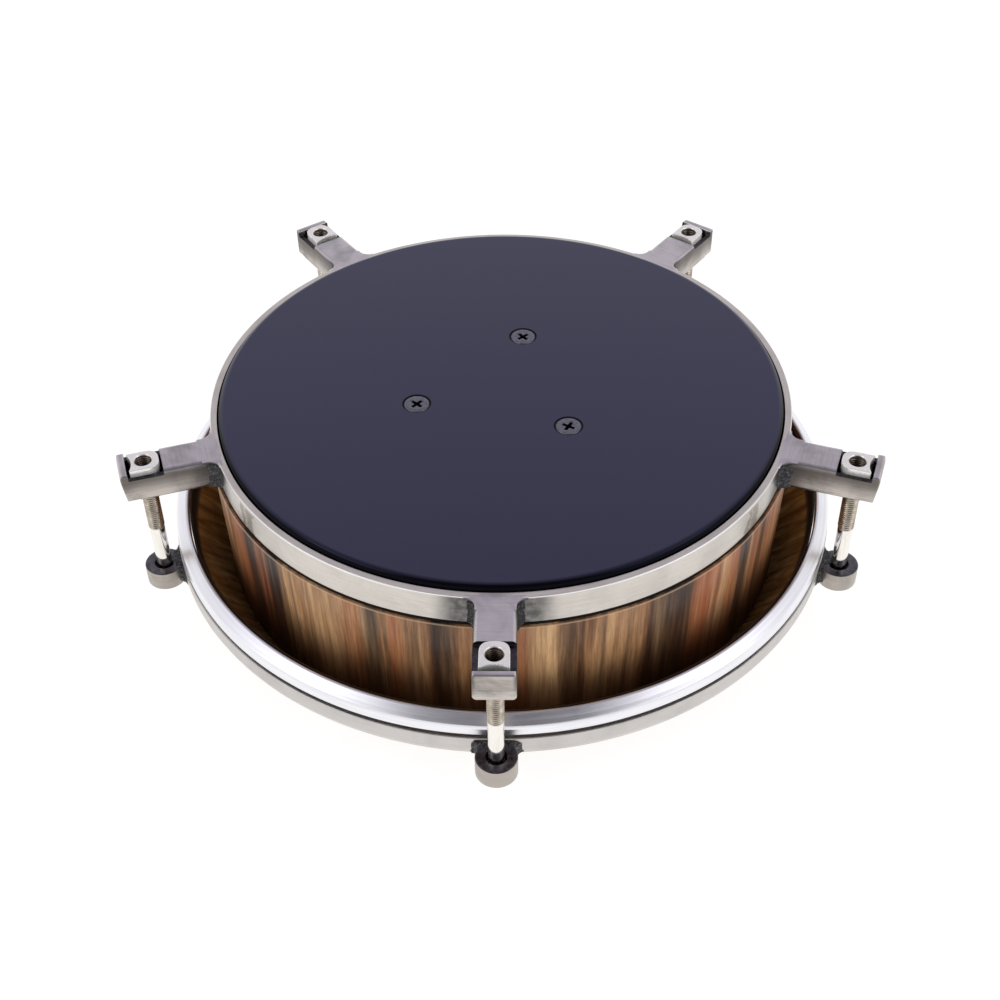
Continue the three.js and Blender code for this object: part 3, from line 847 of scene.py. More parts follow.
def striped_wood():
    """striped veneer under satin lacquer: upright strips of tan, red-brown and near-black"""
    mat = Material("shell_striped_wood")
    co = mat.coords()
    x, y, z = mat.sep(co)
    azimuth = mat.mul(mat.math("ARCTAN2", y, x), 180 / math.pi)

    def grain(draw, scale, detail, rough, distort=0.0):
        """noise drawn out along z; draw is its z scale"""
        return mat.noise(co, scale, detail, rough, distort, stretch=(1, 1, draw))

    # slow wander and frayed edges, so the strips aren't ruled straight
    wander = grain(draw=0.50, scale=22.0, detail=3.0, rough=0.55)
    fray = grain(draw=0.05, scale=420.0, detail=4.0, rough=0.60)
    azimuth = mat.add(azimuth, mat.add(mat.swing(wander, about=0.5, gain=2.2),
                                       mat.swing(fray, about=0.5, gain=1.5)))

    def strip_mask(strips, soft):
        mask = None
        for centre, half, strength in strips:
            edge = (half * (1.0 - 0.55 * soft), half * (1.0 + 0.45 * soft))
            strip = mat.remap(mat.offset(azimuth, centre), edge, to=(1.0, 0.0), smooth=True)
            strip = mat.mul(strip, strength)
            mask = strip if mask is None else mat.math("MAXIMUM", mask, strip)
        return mask

    dark = strip_mask(DARK_BANDS, soft=1.0)
    pale = strip_mask(PALE_STRIPS, soft=0.8)
    red = strip_mask(RED_STRIPS, soft=0.8)

    # broad tone, plank by plank, and softer streaks of falling width
    broad = grain(draw=0.07, scale=62.0, detail=3.0, rough=0.50, distort=0.25)
    mid = grain(draw=0.05, scale=190.0, detail=3.0, rough=0.50, distort=0.3)
    streak = grain(draw=0.035, scale=520.0, detail=4.0, rough=0.60)
    fine = grain(draw=0.020, scale=1250.0, detail=3.0, rough=0.60)
    pores = grain(draw=0.030, scale=2300.0, detail=2.0, rough=0.6)
    soft = grain(draw=0.60, scale=46.0, detail=3.0, rough=0.5, distort=0.8)
    # the weights add up to 1
    tone = mat.add(mat.mul(fine, 0.05), mat.mul(soft, 0.09))
    tone = mat.add(mat.mul(streak, 0.12), tone)
    tone = mat.add(mat.mul(mid, 0.28), tone)
    tone = mat.add(mat.mul(broad, 0.46), tone)
    base = mat.ramp(tone, [(0.37, (0.100, 0.038, 0.015)), (0.43, (0.205, 0.088, 0.036)),
                           (0.49, (0.37, 0.180, 0.078)), (0.55, (0.55, 0.305, 0.138)),
                           (0.64, (0.72, 0.45, 0.23))])
    base = mat.mix(base, (0.40, 0.125, 0.050),
                   amount=mat.mul(red, mat.remap(mid, (0.35, 0.65), to=(0.95, 0.60))))
    base = mat.mix(base, (0.80, 0.50, 0.245),
                   amount=mat.mul(pale, mat.remap(mid, (0.35, 0.60), to=(0.45, 0.95))))
    # dark lines in the grain
    streak_weight, fine_weight, pore_weight = 0.34, 0.20, 0.32
    lines = mat.remap(streak, (0.36, 0.52), to=(1.0, 0.0))
    base = mat.mix(base, (0.13, 0.045, 0.016), amount=mat.mul(lines, streak_weight))
    lines = mat.remap(fine, (0.36, 0.50), to=(1.0, 0.0))
    base = mat.mix(base, (0.11, 0.040, 0.014), amount=mat.mul(lines, fine_weight))
    dark = mat.mul(dark, mat.remap(mid, (0.38, 0.66), to=(1.0, 0.80)))
    dark = mat.mul(dark, mat.remap(streak, (0.38, 0.64), to=(1.0, 0.86)))
    base = mat.mix(base, (0.020, 0.012, 0.010), amount=dark)
    base = mat.mix(base, (0.035, 0.014, 0.006),
                   amount=mat.mul(mat.remap(pores, (0.58, 0.70)), pore_weight))
    # painted shade: the wood darkens towards the bearing edge
    base = mat.mix(base, (0.036, 0.010, 0.003),
                   amount=mat.remap(z, (0.052, 0.010), to=(0.0, 0.76), smooth=True))
    # bare pale line on the top arris
    radius = mat.radius(x, y)
    near_top = (SHELL_HI * MM - 0.0006, SHELL_HI * MM - 0.0003)
    arris = mat.mul(mat.remap(z, near_top, to=(0.0, 0.45)),
                    mat.remap(radius, (0.1432, 0.1436)))
    base = mat.mix(base, (0.80, 0.60, 0.40), amount=arris)
    height_share = 0.5
    height = mat.add(mat.mul(streak, height_share), mat.mul(pores, height_share))
    return mat.finish(Normal=mat.bump(height, strength=0.10, dist=0.0003), Base_Color=base,
                      Roughness=mat.remap(streak, (0.3, 0.7), to=(0.50, 0.38)),
                      Specular_IOR_Level=0.30, Coat_Weight=0.10, Coat_Roughness=0.22)


WOOD = striped_wood()


def head_hide():
    """brown hide, mottled, with long soft streaks that lean across the collar"""
    mat = Material("head_hide")
    co = mat.coords()
    x, y, z = mat.sep(co)
    azimuth = mat.math("ARCTAN2", y, x)
    radius = mat.radius(x, y)
    # streaks follow the collar's slope and lean away from the front on both sides
    from_front = mat.math("WRAP", mat.add(azimuth, math.pi / 2), math.pi, -math.pi)
    collar_radius, lean, draw = 0.150, 0.44, 0.16
    arc = mat.mul(mat.math("ABSOLUTE", from_front), collar_radius)
    slanted = mat.add(arc, mat.mul(z, lean))
    combined = mat.node("CombineXYZ")
    mat.feed(combined.inputs[0], slanted)
    mat.feed(combined.inputs[1], mat.mul(z, draw))
    streak = mat.noise(combined.outputs[0], scale=190.0, detail=4.0, rough=0.58, distort=0.5)
    mottle = mat.noise(co, scale=70.0, detail=5.0, rough=0.6, distort=0.8)
    fibre = mat.noise(co, scale=520.0, detail=4.0, rough=0.65)
    base = mat.ramp(streak, [(0.33, (0.170, 0.070, 0.014)), (0.46, (0.36, 0.175, 0.045)),
                             (0.58, (0.58, 0.33, 0.115)), (0.72, (0.82, 0.57, 0.30))])
    base = mat.mix(base, (0.20, 0.090, 0.024),
                   amount=mat.remap(mottle, (0.42, 0.68), to=(0.0, 0.45)))
    # painted shade: the collar darkens towards the hoop
    base = mat.mix(base, (0.030, 0.022, 0.018),
                   amount=mat.remap(z, (0.0252, 0.0275), to=(0.0, 0.88), smooth=True))
    base = mat.mix(base, (0.30, 0.20, 0.11),
                   amount=mat.remap(fibre, (0.55, 0.75), to=(0.0, 0.30)))
    # the playing face is paler, and darkens towards its rim
    face = mat.remap(z, (0.0030, 0.0006))
    pale = mat.ramp(mottle, [(0.30, (0.43, 0.33, 0.215)), (0.50, (0.56, 0.45, 0.31)),
                             (0.70, (0.66, 0.56, 0.41))])
    pale = mat.mix(pale, (0.42, 0.31, 0.19),
                   amount=mat.remap(fibre, (0.45, 0.7), to=(0.0, 0.35)))
    pale = mat.mix(pale, (0.33, 0.22, 0.12),
                   amount=mat.remap(radius, (0.105, 0.142), to=(0.0, 0.45), smooth=True))
    base = mat.mix(base, pale, amount=face)
    normal = mat.bump(mat.add(fibre, mottle), strength=0.25, dist=0.0003)
    # duller beside the hoop, with painted shade there
    dull_and_shaded = mat.remap(z, (0.0262, 0.0285))
    base = mat.mix(base, (0.040, 0.026, 0.016), amount=dull_and_shaded)
    dull_rough = 0.45
    roughness = mat.add(mat.remap(mottle, (0.3, 0.7), to=(0.30, 0.46)),
                        mat.mul(dull_and_shaded, dull_rough))
    every = (0.0, 1.0)
    return mat.finish(Normal=normal, Base_Color=base, Roughness=roughness,
                      Coat_Weight=mat.remap(dull_and_shaded, every, to=(0.25, 0.0)), Coat_Roughness=0.2,
                      Specular_IOR_Level=mat.remap(dull_and_shaded, every, to=(0.5, 0.08)))


HIDE = head_hide()


def plywood():
    mat = Material("backing_board")
    co = mat.coords()
    grain = mat.noise(co, scale=240.0, detail=5.0, rough=0.6, distort=0.4,
                      stretch=(1, 0.12, 1))
    plies = mat.noise(co, scale=1400.0, detail=1.0, rough=0.5, stretch=(0.1, 0.1, 1))
    base = mat.ramp(grain, [(0.3, (0.33, 0.22, 0.12)), (0.6, (0.52, 0.38, 0.23)),
                            (0.8, (0.62, 0.48, 0.31))])
    base = mat.mix(base, (0.28, 0.18, 0.10),
                   amount=mat.remap(plies, (0.45, 0.55), to=(0.0, 0.25)))
    return mat.finish(Normal=mat.bump(grain, strength=0.2, dist=0.0004),
                      Base_Color=base, Roughness=0.7)


BOARD = plywood()

# ================================================================ shell
# outer radii at the top and at the bearing edge, and the wall's thickness
SHELL_TOP_R, SHELL_EDGE_R, SHELL_WALL = 144.0, 141.6, 10.5
shell = lathe("shell_tube", rounded([
    (SHELL_TOP_R - SHELL_WALL, SHELL_HI, 0.6), (SHELL_EDGE_R - SHELL_WALL, SHELL_LO + 8.0, 3.0),
    (SHELL_EDGE_R - 3.4, SHELL_LO, 1.2), (SHELL_EDGE_R, SHELL_LO, 2.2),
    (SHELL_TOP_R, SHELL_HI, 0.45)], 6), sharp=40)
put(shell, [WOOD], "base", "shell_wood", "shell")

# ================================================================ seal
SEAL_IN = 135.0
seal = lathe("ring_seal", rounded([
    (SEAL_IN, SEAL_LO, 0.2), (142.55, SEAL_LO, 0.3), (142.45, SEAL_HI, 0.3),
    (SEAL_IN, SEAL_HI, 0.2)], 4))
put(seal, [RUBBER], "base", "seal", "ring_gasket")

# ================================================================ base ring and arms
# One welded frame. Each arm is built along +X, then turned to its lug.
RING_IN, LEDGE_IN, LEDGE = 139.0, 131.5, 2.5    # ring's bore, ledge's bore and thickness
ARM_HALF = 18.6 / 2
WALL = 2.6                                      # the arm channel's sheet
INNER_HALF = ARM_HALF - WALL
ARM_ROOT = 139.9
NOTCH_R, END_IN, END_OUT = 167.5, 184.2, 187.9  # open notch, then the end wall
NOTCH_STEP = 2.3                                # depth of the notch's rim below the top
END_RISE = 0.9                                  # the end wall stands this far above the top

# arm from the side: (distance from the drum's axis, z, corner radius)
ARM_SIDE = [
    (ARM_ROOT, RING_LO, 0), (186.1, RING_LO, 0.9), (186.8, RING_LO + 5.4, 3.0),
    (187.6, TOP - 4.6, 4.0), (END_OUT, TOP - 1.8, 1.2), (187.1, TOP + END_RISE, 1.3),
    (END_IN, TOP + END_RISE, 0.9), (END_IN, TOP - NOTCH_STEP, 0.5),
    (NOTCH_R, TOP - NOTCH_STEP, 0.5), (NOTCH_R, TOP, 0.35), (ARM_ROOT, TOP, 0)]


def section(half, low, high, low_radius, high_radius, steps):
    """rectangular section (y, z) about the arm's centre line, with rounded corners"""
    return rounded([(-half, low, low_radius), (half, low, low_radius),
                    (half, high, high_radius), (-half, high, high_radius)], steps)


def arm_solid():
    side = rounded(ARM_SIDE, 9)
    reach = ARM_HALF + 1
    arm = prism("arm", side, -reach, reach, "y")
    body = section(ARM_HALF, RING_LO, TOP, 2.6, 2.4, steps=8)
    boolean(arm, prism("body", body, ARM_ROOT, 180.4, "x"), "INTERSECT")

    end = prism("arm_end", side, -reach, reach, "y")
    end_section = section(ARM_HALF, RING_LO, TOP + END_RISE, 3.3, 1.7, steps=9)
    boolean(end, prism("section", end_section, 180.2, 189.5, "x"), "INTERSECT")
    tip = END_OUT + 0.02
    plan = rounded([(176, -ARM_HALF, 0), (tip, -ARM_HALF, 1.9), (tip, ARM_HALF, 1.9),
                    (176, ARM_HALF, 0)], 6)
    boolean(end, prism("plan", plan, RING_LO - 2, TOP + 3, "z"), "INTERSECT")
    bevel(end, 0.35, 3, 50)
    boolean(arm, end, "UNION")

    # channel's hollow: under the top sheet it is closed, in the notch it is open
    hollow = section(INNER_HALF, RING_LO - 3, TOP - WALL, 0, 1.0, steps=3)
    boolean(arm, prism("hollow", hollow, 136, NOTCH_R + 0.4, "x"), "DIFFERENCE")
    notch = rounded([(NOTCH_R, -INNER_HALF, 1.2), (END_IN, -INNER_HALF, 1.0),
                     (END_IN, INNER_HALF, 1.0), (NOTCH_R, INNER_HALF, 1.2)], 4)
    boolean(arm, prism("notch", notch, RING_LO - 3, TOP + 4, "z"), "DIFFERENCE")
    weld_points(arm, 2e-6, 2e-6)
    bevel(arm, 0.32, 2, 40)

    # shelf that carries the nut
    half, start, stop = INNER_HALF + 0.3, 152, END_IN + 0.4
    outline = [(start, -half), (stop, -half), (stop, half), (start, half)]
    shelf = prism("shelf", outline, NUT_LO - 2.9, NUT_LO - 0.3, "z")
    hole = shift(drill(4.75, RING_LO - 3, TOP, 48), LUG_R, 0)
    boolean(shelf, hole, "DIFFERENCE")
    return boolean(arm, shelf, "UNION")


def flare_solid():
    """the top sheet's flare into the ring, flush with the top"""
    half = ARM_HALF - 0.3
    curve = []
    for k in range(9):
        angle = rad(90) * (k / 8)
        curve.append((142.4 + 5.2 * (1 - math.sin(angle)), half + 5.0 * (1 - math.cos(angle))))
    root, stop, widest = 140.2, 149.5, curve[-1][1]
    outline = [(root, -widest), (root, widest), *reversed(curve), (stop, half), (stop, -half)]
    outline += [(x, -y) for x, y in curve]
    flare = prism("flare", outline, TOP - 1.3, TOP, "z")
    bevel(flare, 0.35, 2, 60)
    return flare


lug_frame = lathe("lug_frame", rounded([
    (LEDGE_IN, RING_LO, 0.3), (RING_OUT, RING_LO, 0.45), (RING_OUT, TOP, 0.55),
    (RING_IN, TOP, 0.45), (RING_IN, RING_LO + LEDGE, 0.6), (LEDGE_IN, RING_LO + LEDGE, 0.3)],
    4), sharp=30)
arm = arm_solid()
flare = flare_solid()
for heading in LUGS:
    for part in (arm, flare):
        boolean(lug_frame, spin(copy_of(part, "lug_part"), heading), "UNION")
drop(arm)
drop(flare)
weld_points(lug_frame)
weighted(lug_frame, 34)


def nearest_lug(point):
    heading = math.atan2(point.y, point.x)
    return min(range(5), key=lambda i: abs(
        (heading - LUGS[i] + math.pi) % (2 * math.pi) - math.pi))


def lug_axes(i, x, y):
    """(along, across) lug i's arm"""
    cos, sin = math.cos(LUGS[i]), math.sin(LUGS[i])
    return x * cos + y * sin, -x * sin + y * cos


def frame_uv(x, y, z, normal, centre):
    """brushed round the ring, and along the arms' sides; each kind of face and each arm
    has its own offset, so no two share a stretch of noise"""
    if math.hypot(centre.x, centre.y) < 142.9:
        return round_uv(x, y, z, normal, centre)
    i = nearest_lug(centre)
    along, across = lug_axes(i, x, y)
    if abs(lug_axes(i, normal.x, normal.y)[0]) > 0.6:
        return across + 900 + 60 * i, z
    if abs(normal.z) > 0.7:
        return across + 600 + 60 * i, along
    return along + 300 + 110 * i, across + z + 37 * i


def frame_zone(centre, normal):
    """0 ring, 1 polished arm, 2 unpolished inside of the channel, 3 rim of the notch"""
    if math.hypot(centre.x, centre.y) < 142.75:
        return 0
    i = nearest_lug(centre)
    along, across = lug_axes(i, centre.x, centre.y)
    facing_out = lug_axes(i, normal.x, normal.y)[0]
    if abs(across) < INNER_HALF + 0.08 and along < END_IN + 0.08 and centre.z < TOP - 2.0:
        return 2
    on_rim = abs(centre.z - (TOP - NOTCH_STEP)) < 0.45
    if normal.z > 0.5 and NOTCH_R < along < END_IN and on_rim:
        return 3
    if abs(along - NOTCH_R) < 0.3 and facing_out > 0.7 and abs(across) < ARM_HALF - 1.2:
        return 2
    return 1


brush_uv(lug_frame, frame_uv)
put(lug_frame, [STEEL, STEEL_ARM, SCALE, NOTCH_TOP], "base", "steel",
    "base_ring", "arm_1", "arm_2", "arm_3", "arm_4", "arm_5", zone=frame_zone)


# ---------------------------------------------------------------- arm welds
def fillet_weld(i, side):
    """rough bead in the corner of the ring's wall and the arm's side; side is 1 or -1"""
    z_low, z_high = RING_LO + 0.25, TOP - 1.0
    row_count, skin_count = 56, 22
    y_root = ARM_HALF - 0.25
    rows = []
    for j in range(row_count + 1):
        t = j / row_count
        z = z_low + (z_high - z_low) * t
        taper = min(1.0, (min(t, 1 - t) * 16 + 0.30)) ** 0.5
        ripple = 0.12 * math.sin(t * 2 * math.pi * 7.5 + i * 1.3)
        # how far the bead spreads over the ring and along the arm
        on_ring = (3.7 + 0.18 * math.sin(t * 11 + i) + 0.12 * math.sin(t * 23 + 2 * i)) * taper
        on_arm = (5.6 + 0.50 * math.sin(t * 8 + 2 + i) + 0.3 * math.sin(t * 19 + i)) * taper
        row = []
        # outer skin from the ring contact to the arm contact, bulging a little
        for k in range(skin_count + 1):
            s = k / skin_count
            bulge = (0.30 + ripple) * math.sin(math.pi * s)
            x = 142.35 + on_arm * s ** 1.2 + bulge * 0.7
            y = y_root + on_ring * (1 - s) ** 1.2 + bulge * 0.7
            fade = math.sin(math.pi * s) ** 0.5 if 0 < s < 1 else 0
            lump = (lumpy(x, y * side, z, i * 7.3 + side * 2.1, 0.36, 0.8)
                    + lumpy(x, y * side, z, 3.1 + i, 0.34, 2.4)) * fade
            x += lump * 0.7
            y += lump * 0.7
            # follow the ring's curve
            x -= (RING_OUT - math.sqrt(RING_OUT ** 2 - y * y) + 0.25) * (1 - s)
            row.append((x, y * side, z + 0.2 * lump))
        # back of the bead, buried in the frame
        row.append((142.0, (ARM_HALF - 0.7) * side, z))
        row.append((140.6, (ARM_HALF - 0.5) * side, z))
        row.append((140.6, (y_root + on_ring * 0.8) * side, z))
        rows.append(row)
    return spin(loft("bead", rows, 80), LUGS[i])


for i in range(5):
    welds = join("arm_weld_%d" % (i + 1), [fillet_weld(i, side) for side in (1, -1)])
    shade(welds, 80)
    put(welds, [WELD], "base", "steel")

# ================================================================ base plate
plate = lathe("base_plate_panel", rounded([
    (0, PLATE_LO, 0), (PLATE_R, PLATE_LO, 0.6), (PLATE_R, PLATE_TOP, 3.0), (0, PLATE_TOP, 0)],
    16), sharp=40)
# countersunk screw hole: (radius, z, corner radius)
SCREW_HOLE = [
    (0, PLATE_LO - 1, 0), (2.9, PLATE_LO - 1, 0), (2.9, PLATE_TOP - 3.9, 0),
    (6.75, PLATE_TOP - 0.2, 0.3), (7.15, PLATE_TOP + 0.02, 0), (7.3, PLATE_TOP + 1, 0),
    (0, PLATE_TOP + 1, 0)]
for x, y in SCREWS:
    boolean(plate, shift(lathe("hole", rounded(SCREW_HOLE, 4), 72), x, y), "DIFFERENCE")
shade(plate, 24)
for face in plate.data.polygons:
    if abs(face.normal.z) > 0.9995:
        face.use_smooth = False


def in_screw_hole(centre, normal):
    nearest = min(math.hypot(centre.x - x, centre.y - y) for x, y in SCREWS)
    return abs(normal.z) < 0.97 and nearest < 7.6


put(plate, [PLATE, RUBBER], "base", "plate_gloss", "base_plate", zone=in_screw_hole)

# ================================================================ plate screws
SCREW_TURNS = [40, 48, 60]      # heading of each cross recess, degrees
# cross recess, from its floor outwards: (arm length, arm half width, z from the head's top)
RECESS = [(1.2, 0.396, -3.0), (2.8, 0.76, -2.6), (3.2, 0.86, -0.45), (3.3, 0.92, -0.10),
          (3.44, 1.02, 0.0)]
# round head and its cone: (radius, z from the head's top)
SCREW_HEAD = [(4.2, 0.02), (5.4, -0.01), (6.0, -0.10), (6.25, -0.40), (6.2, -0.75), (2.5, -4.1)]
# one rib of the thread: (radius, z from the rib's start)
SCREW_RIB = [(2.05, 0.0), (2.05, -0.45), (2.65, -0.8), (2.05, -1.15)]
RIB_PITCH = 1.6


def cross(length, half):
    """radius of a cross outline, as a function of the angle"""
    def radius(angle):
        cos = max(abs(math.cos(angle)), 1e-6)
        sin = max(abs(math.sin(angle)), 1e-6)
        return max(min(length / cos, half / sin), min(length / sin, half / cos))
    return radius


def plate_screw(i):
    node = "plate_screw_%d" % (i + 1)
    top = PLATE_TOP - 0.15
    tip = z_span(node)[0]
    stations = [(cross(length, half), top + dz) for length, half, dz in RECESS]
    stations += [(radius, top + dz) for radius, dz in SCREW_HEAD]
    z = top - 4.6
    while z > tip + 2.6:
        stations += [(radius, z + dz) for radius, dz in SCREW_RIB]
        z -= RIB_PITCH
    stations += [(1.6, tip + 1.6), (0.25, tip + 0.1)]
    turn = rad(SCREW_TURNS[i])
    rows = [ring_row(radius, z, 120, turn) for radius, z in stations]
    screw = shift(loft(node + "_body", rows, 35), *SCREWS[i])
    put(screw, [SCREW], "base", "screw_black", node)


for i in range(3):
    plate_screw(i)

# ================================================================ backing board (inside)
BOARD_R = 62.0
board = lathe("backing_board", rounded([
    (0, BOARD_LO, 0), (BOARD_R, BOARD_LO, 1.2), (BOARD_R, BOARD_HI, 1.2), (0, BOARD_HI, 0)], 5),
    180, 30)
for x, y in SCREWS:
    boolean(board, shift(drill(2.72, BOARD_LO - 2, BOARD_HI + 2, 40), x, y), "DIFFERENCE")
shade(board, 30)
put(board, [BOARD], "base", "board", "backing_disc")


# ================================================================ tension nuts
def thread_rows(crest, root, low, high, per_turn, fade_low, fade_high):
    """rows of a helical thread, which runs out over the fade length at each end"""
    count = int((high - low) / THREAD_PITCH * per_turn)
    rows = []
    for j in range(count + 1):
        z = low + (high - low) * j / count
        fade = min(1.0, (z - low) / fade_low, (high - z) / fade_high)

        def radius(angle):
            phase = (z / THREAD_PITCH - angle / (2 * math.pi)) % 1.0
            off_crest = abs(phase - 0.5) * 2    # 0 at the crest's middle, 1 at the root's
            rise = min(1.0, max(0.0, (0.86 - off_crest) / 0.70))
            return (root + (crest - root) * rise) * fade + root * (1 - fade)

        rows.append(ring_row(radius, z))
    return rows


NUT_HALF = 6.55
NUT_FLAT = LUG_R + 7.3      # where the nut's straight sides end
NUT_BORE = 4.12


def nut_solid():
    """plan: a blunt round inner end, straight sides and a hollowed outer face"""
    outline = [(NUT_FLAT, NUT_HALF)]
    power = 2 / 2.8
    for k in range(41):
        angle = rad(90 + 180 * k / 40)
        outline.append((LUG_R - 0.6 - 6.7 * abs(math.cos(angle)) ** power,
                        NUT_HALF * signed_power(math.sin(angle), power)))
    outline.append((NUT_FLAT, -NUT_HALF))
    for k in range(15):
        t = -1 + 2 * k / 14
        outline.append((LUG_R + 7.1 - 1.35 * (1 - t ** 2), 5.6 * t))
    nut = prism("nut", outline, NUT_LO, NUT_HI, "z")
    weld_points(nut)
    bevel(nut, 0.42, 4, 40)
    rows = [ring_row(NUT_BORE, NUT_LO - 1.0)]
    rows += thread_rows(NUT_BORE, 3.72, NUT_LO - 0.9, NUT_HI - 0.75, 10, 0.01, 0.5)
    # countersink: (radius, z from the nut's top)
    for radius, dz in ((3.80, -0.70), (4.05, -0.42), (4.42, 0.02), (5.2, 0.9)):
        rows.append(ring_row(radius, NUT_HI + dz))
    boolean(nut, shift(loft("bore", rows), LUG_R, 0), "DIFFERENCE")
    weighted(nut, 34)
    return nut


def in_bore(nut):
    """faces of the nut's bore; found before the nut is turned to its lug"""
    inside = []
    for face in nut.data.polygons:
        centre = face.center * 1000.0
        inside.append(math.hypot(centre.x - LUG_R, centre.y) < 4.14 and centre.z < NUT_HI - 0.22)
    return inside


LUG_AXIS = Matrix.Translation((LUG_R * MM, 0, 0))
HALF_TURN = LUG_AXIS @ Matrix.Rotation(math.pi, 4, "Z") @ Matrix.Translation((-LUG_R * MM, 0, 0))


def at_lug(ob, i, name):
    """copy at lug i; at the two rear lugs the nut, and the bolt to match, has a half turn"""
    placed = copy_of(ob, name)
    if i in (2, 3):
        placed.data.transform(HALF_TURN)
    return spin(placed, LUGS[i])


nut = nut_solid()
set_materials(nut, [NICKEL_NUT, BORE])
for face, inside in zip(nut.data.polygons, in_bore(nut)):
    face.material_index = int(inside)
for i in range(5):
    placed = at_lug(nut, i, "tension_nut_%d" % (i + 1))
    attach(placed, "base")
    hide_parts("nut_%d" % (i + 1))
drop(nut)


# ================================================================ tension bolts
def hexagon(across):
    """radius of a hexagon with this half width over its flats, as a function of the angle"""
    return lambda angle: across / math.cos(
        ((angle + math.pi / 6) % (math.pi / 3)) - math.pi / 6)


def bolt_solid():
    """head down, from the floor of its socket outwards and up to the threaded end"""
    head_top = BOLT_LO + 4.9
    shank = 3.70
    stations = [
        (1.2, BOLT_LO + 2.75), (hexagon(2.45), BOLT_LO + 2.5), (hexagon(2.5), BOLT_LO + 0.35),
        (hexagon(2.72), BOLT_LO + 0.06), (5.7, BOLT_LO), (6.05, BOLT_LO + 0.04),
        (6.35, BOLT_LO + 0.22), (6.5, BOLT_LO + 0.55), (6.5, head_top - 0.3), (6.3, head_top),
        (4.3, head_top), (3.9, head_top + 0.06), (shank, head_top + 0.5)]
    z = head_top + 2.0
    while z < 47.6:
        stations.append((shank, z))
        z += 3.0
    stations += [(shank, 47.9), (3.55, 48.35)]
    rows = [ring_row(radius, z) for radius, z in stations]
    rows += thread_rows(3.92, 3.52, 48.5, BOLT_HI - 1.1, 12, 0.8, 0.2)
    for radius, z in ((3.48, BOLT_HI - 0.8), (2.7, BOLT_HI - 0.12), (2.3, BOLT_HI)):
        rows.append(ring_row(radius, z))
    return shift(loft("bolt", rows, 45), LUG_R, 0)


bolt = bolt_solid()
for i in range(5):
    body = "tension_bolt_%d" % (i + 1)
    put(at_lug(bolt, i, body + "_screw"), [BOLT], body, "nickel", "bolt_%d" % (i + 1))
drop(bolt)

# ================================================================ counterhoop
HOOP_OUT, LIP_IN = 167.5, 160.6
counterhoop = lathe("counterhoop_band", rounded([
    (LIP_IN, HOOP_HI - 2.6, 0.4), (164.2, HOOP_HI - 3.0, 1.2), (163.6, HOOP_LO + 1.2, 0.8),
    (164.8, HOOP_LO, 0.7), (166.0, HOOP_LO + 0.3, 0.9), (HOOP_OUT, HOOP_LO + 3.8, 4.0),
    (HOOP_OUT, HOOP_HI, 0.55), (LIP_IN, HOOP_HI, 0.5)], 6), 420, 34)
brush_uv(counterhoop, round_uv)
put(counterhoop, [STEEL_HOOP], "rim", "steel", "counterhoop")

# ---------------------------------------------------------------- ears: bored bosses
EAR_R, EAR_BORE, EAR_SOCKET = 9.6, 4.85, 7.5    # outside, bolt hole, hollow round bolt's head
SOCKET_TOP = BOLT_LO + 5.2
ear = lathe("ear", rounded([
    (EAR_SOCKET, EAR_LO, 0.35), (EAR_R, EAR_LO, 0.7), (EAR_R, EAR_HI, 0.6),
    (EAR_BORE, EAR_HI, 0.5), (EAR_BORE, SOCKET_TOP, 0.3), (EAR_SOCKET, SOCKET_TOP, 0.3)], 5), 120)
shift(ear, LUG_R, 0)


def ear_neck(i):
    """short welded neck between band and boss: a lumpy saddle, widest at the band"""
    z_low, z_high = EAR_LO + 1.2, EAR_HI + 0.6
    step_count, point_count = 34, 72
    x_band, x_boss = 165.9, 171.9
    squareness = 0.42           # power that squares the oval section
    z_mid = (z_low + z_high) / 2 - 0.2
    rows = []
    for j in range(step_count + 1):
        s = j / step_count
        x = x_band + (x_boss - x_band) * s
        half_wide = 7.3 + 5.4 * math.exp(-(s / 0.36) ** 2)
        half_high = (z_high - z_low) / 2 * (1.0 - 0.06 * math.sin(math.pi * s))
        swell = math.sin(math.pi * (0.12 + 0.76 * s))
        row = []
        for k in range(point_count):
            angle = 2 * math.pi * k / point_count
            cos, sin = math.cos(angle), math.sin(angle)
            y = half_wide * signed_power(cos, squareness)
            z = z_mid + half_high * signed_power(sin, squareness)
            lump = (lumpy(x, y, z, 31.0 + i * 5.7, 1.15, 0.50)
                    + lumpy(x, y, z, 11.0 + i, 0.40, 1.6)) * swell
            # copysign takes the lump's size only, so lumps always stand outwards
            y += math.copysign(lump, cos) * abs(cos) ** 0.5
            z += math.copysign(lump, sin) * abs(sin) ** 0.5
            row.append((x, y, min(EAR_HI + 0.5 - 0.6 * s, max(EAR_LO + 0.3, z))))
        rows.append(row)
    return spin(loft("ear_weld_%d" % (i + 1), rows, 80), LUGS[i])


def hoop_ear(i):
    heading = LUGS[i]
    axis_x, axis_y = LUG_R * math.cos(heading), LUG_R * math.sin(heading)

    def ear_uv(x, y, z, normal, centre):
        """brushed round the bolt's axis, with an offset for each ear"""
        angle = near_angle(math.atan2(y - axis_y, x - axis_x),
                           math.atan2(centre.y - axis_y, centre.x - axis_x))
        if abs(normal.z) > 0.6:
            return angle * 8 + 100 * heading, math.hypot(x - axis_x, y - axis_y)
        return angle * EAR_R + 40 * heading, z

    def top_or_bore(centre, normal):
        return normal.z > 0.55 or math.hypot(centre.x - axis_x, centre.y - axis_y) < 5.3

    boss = spin(copy_of(ear, "hoop_ear_%d_boss" % (i + 1)), heading)
    brush_uv(boss, ear_uv)
    put(boss, [STEEL_EAR, EAR_TOP], "rim", "steel", "hoop_ear_%d" % (i + 1), zone=top_or_bore)
    put(ear_neck(i), [WELD], "rim", "steel")


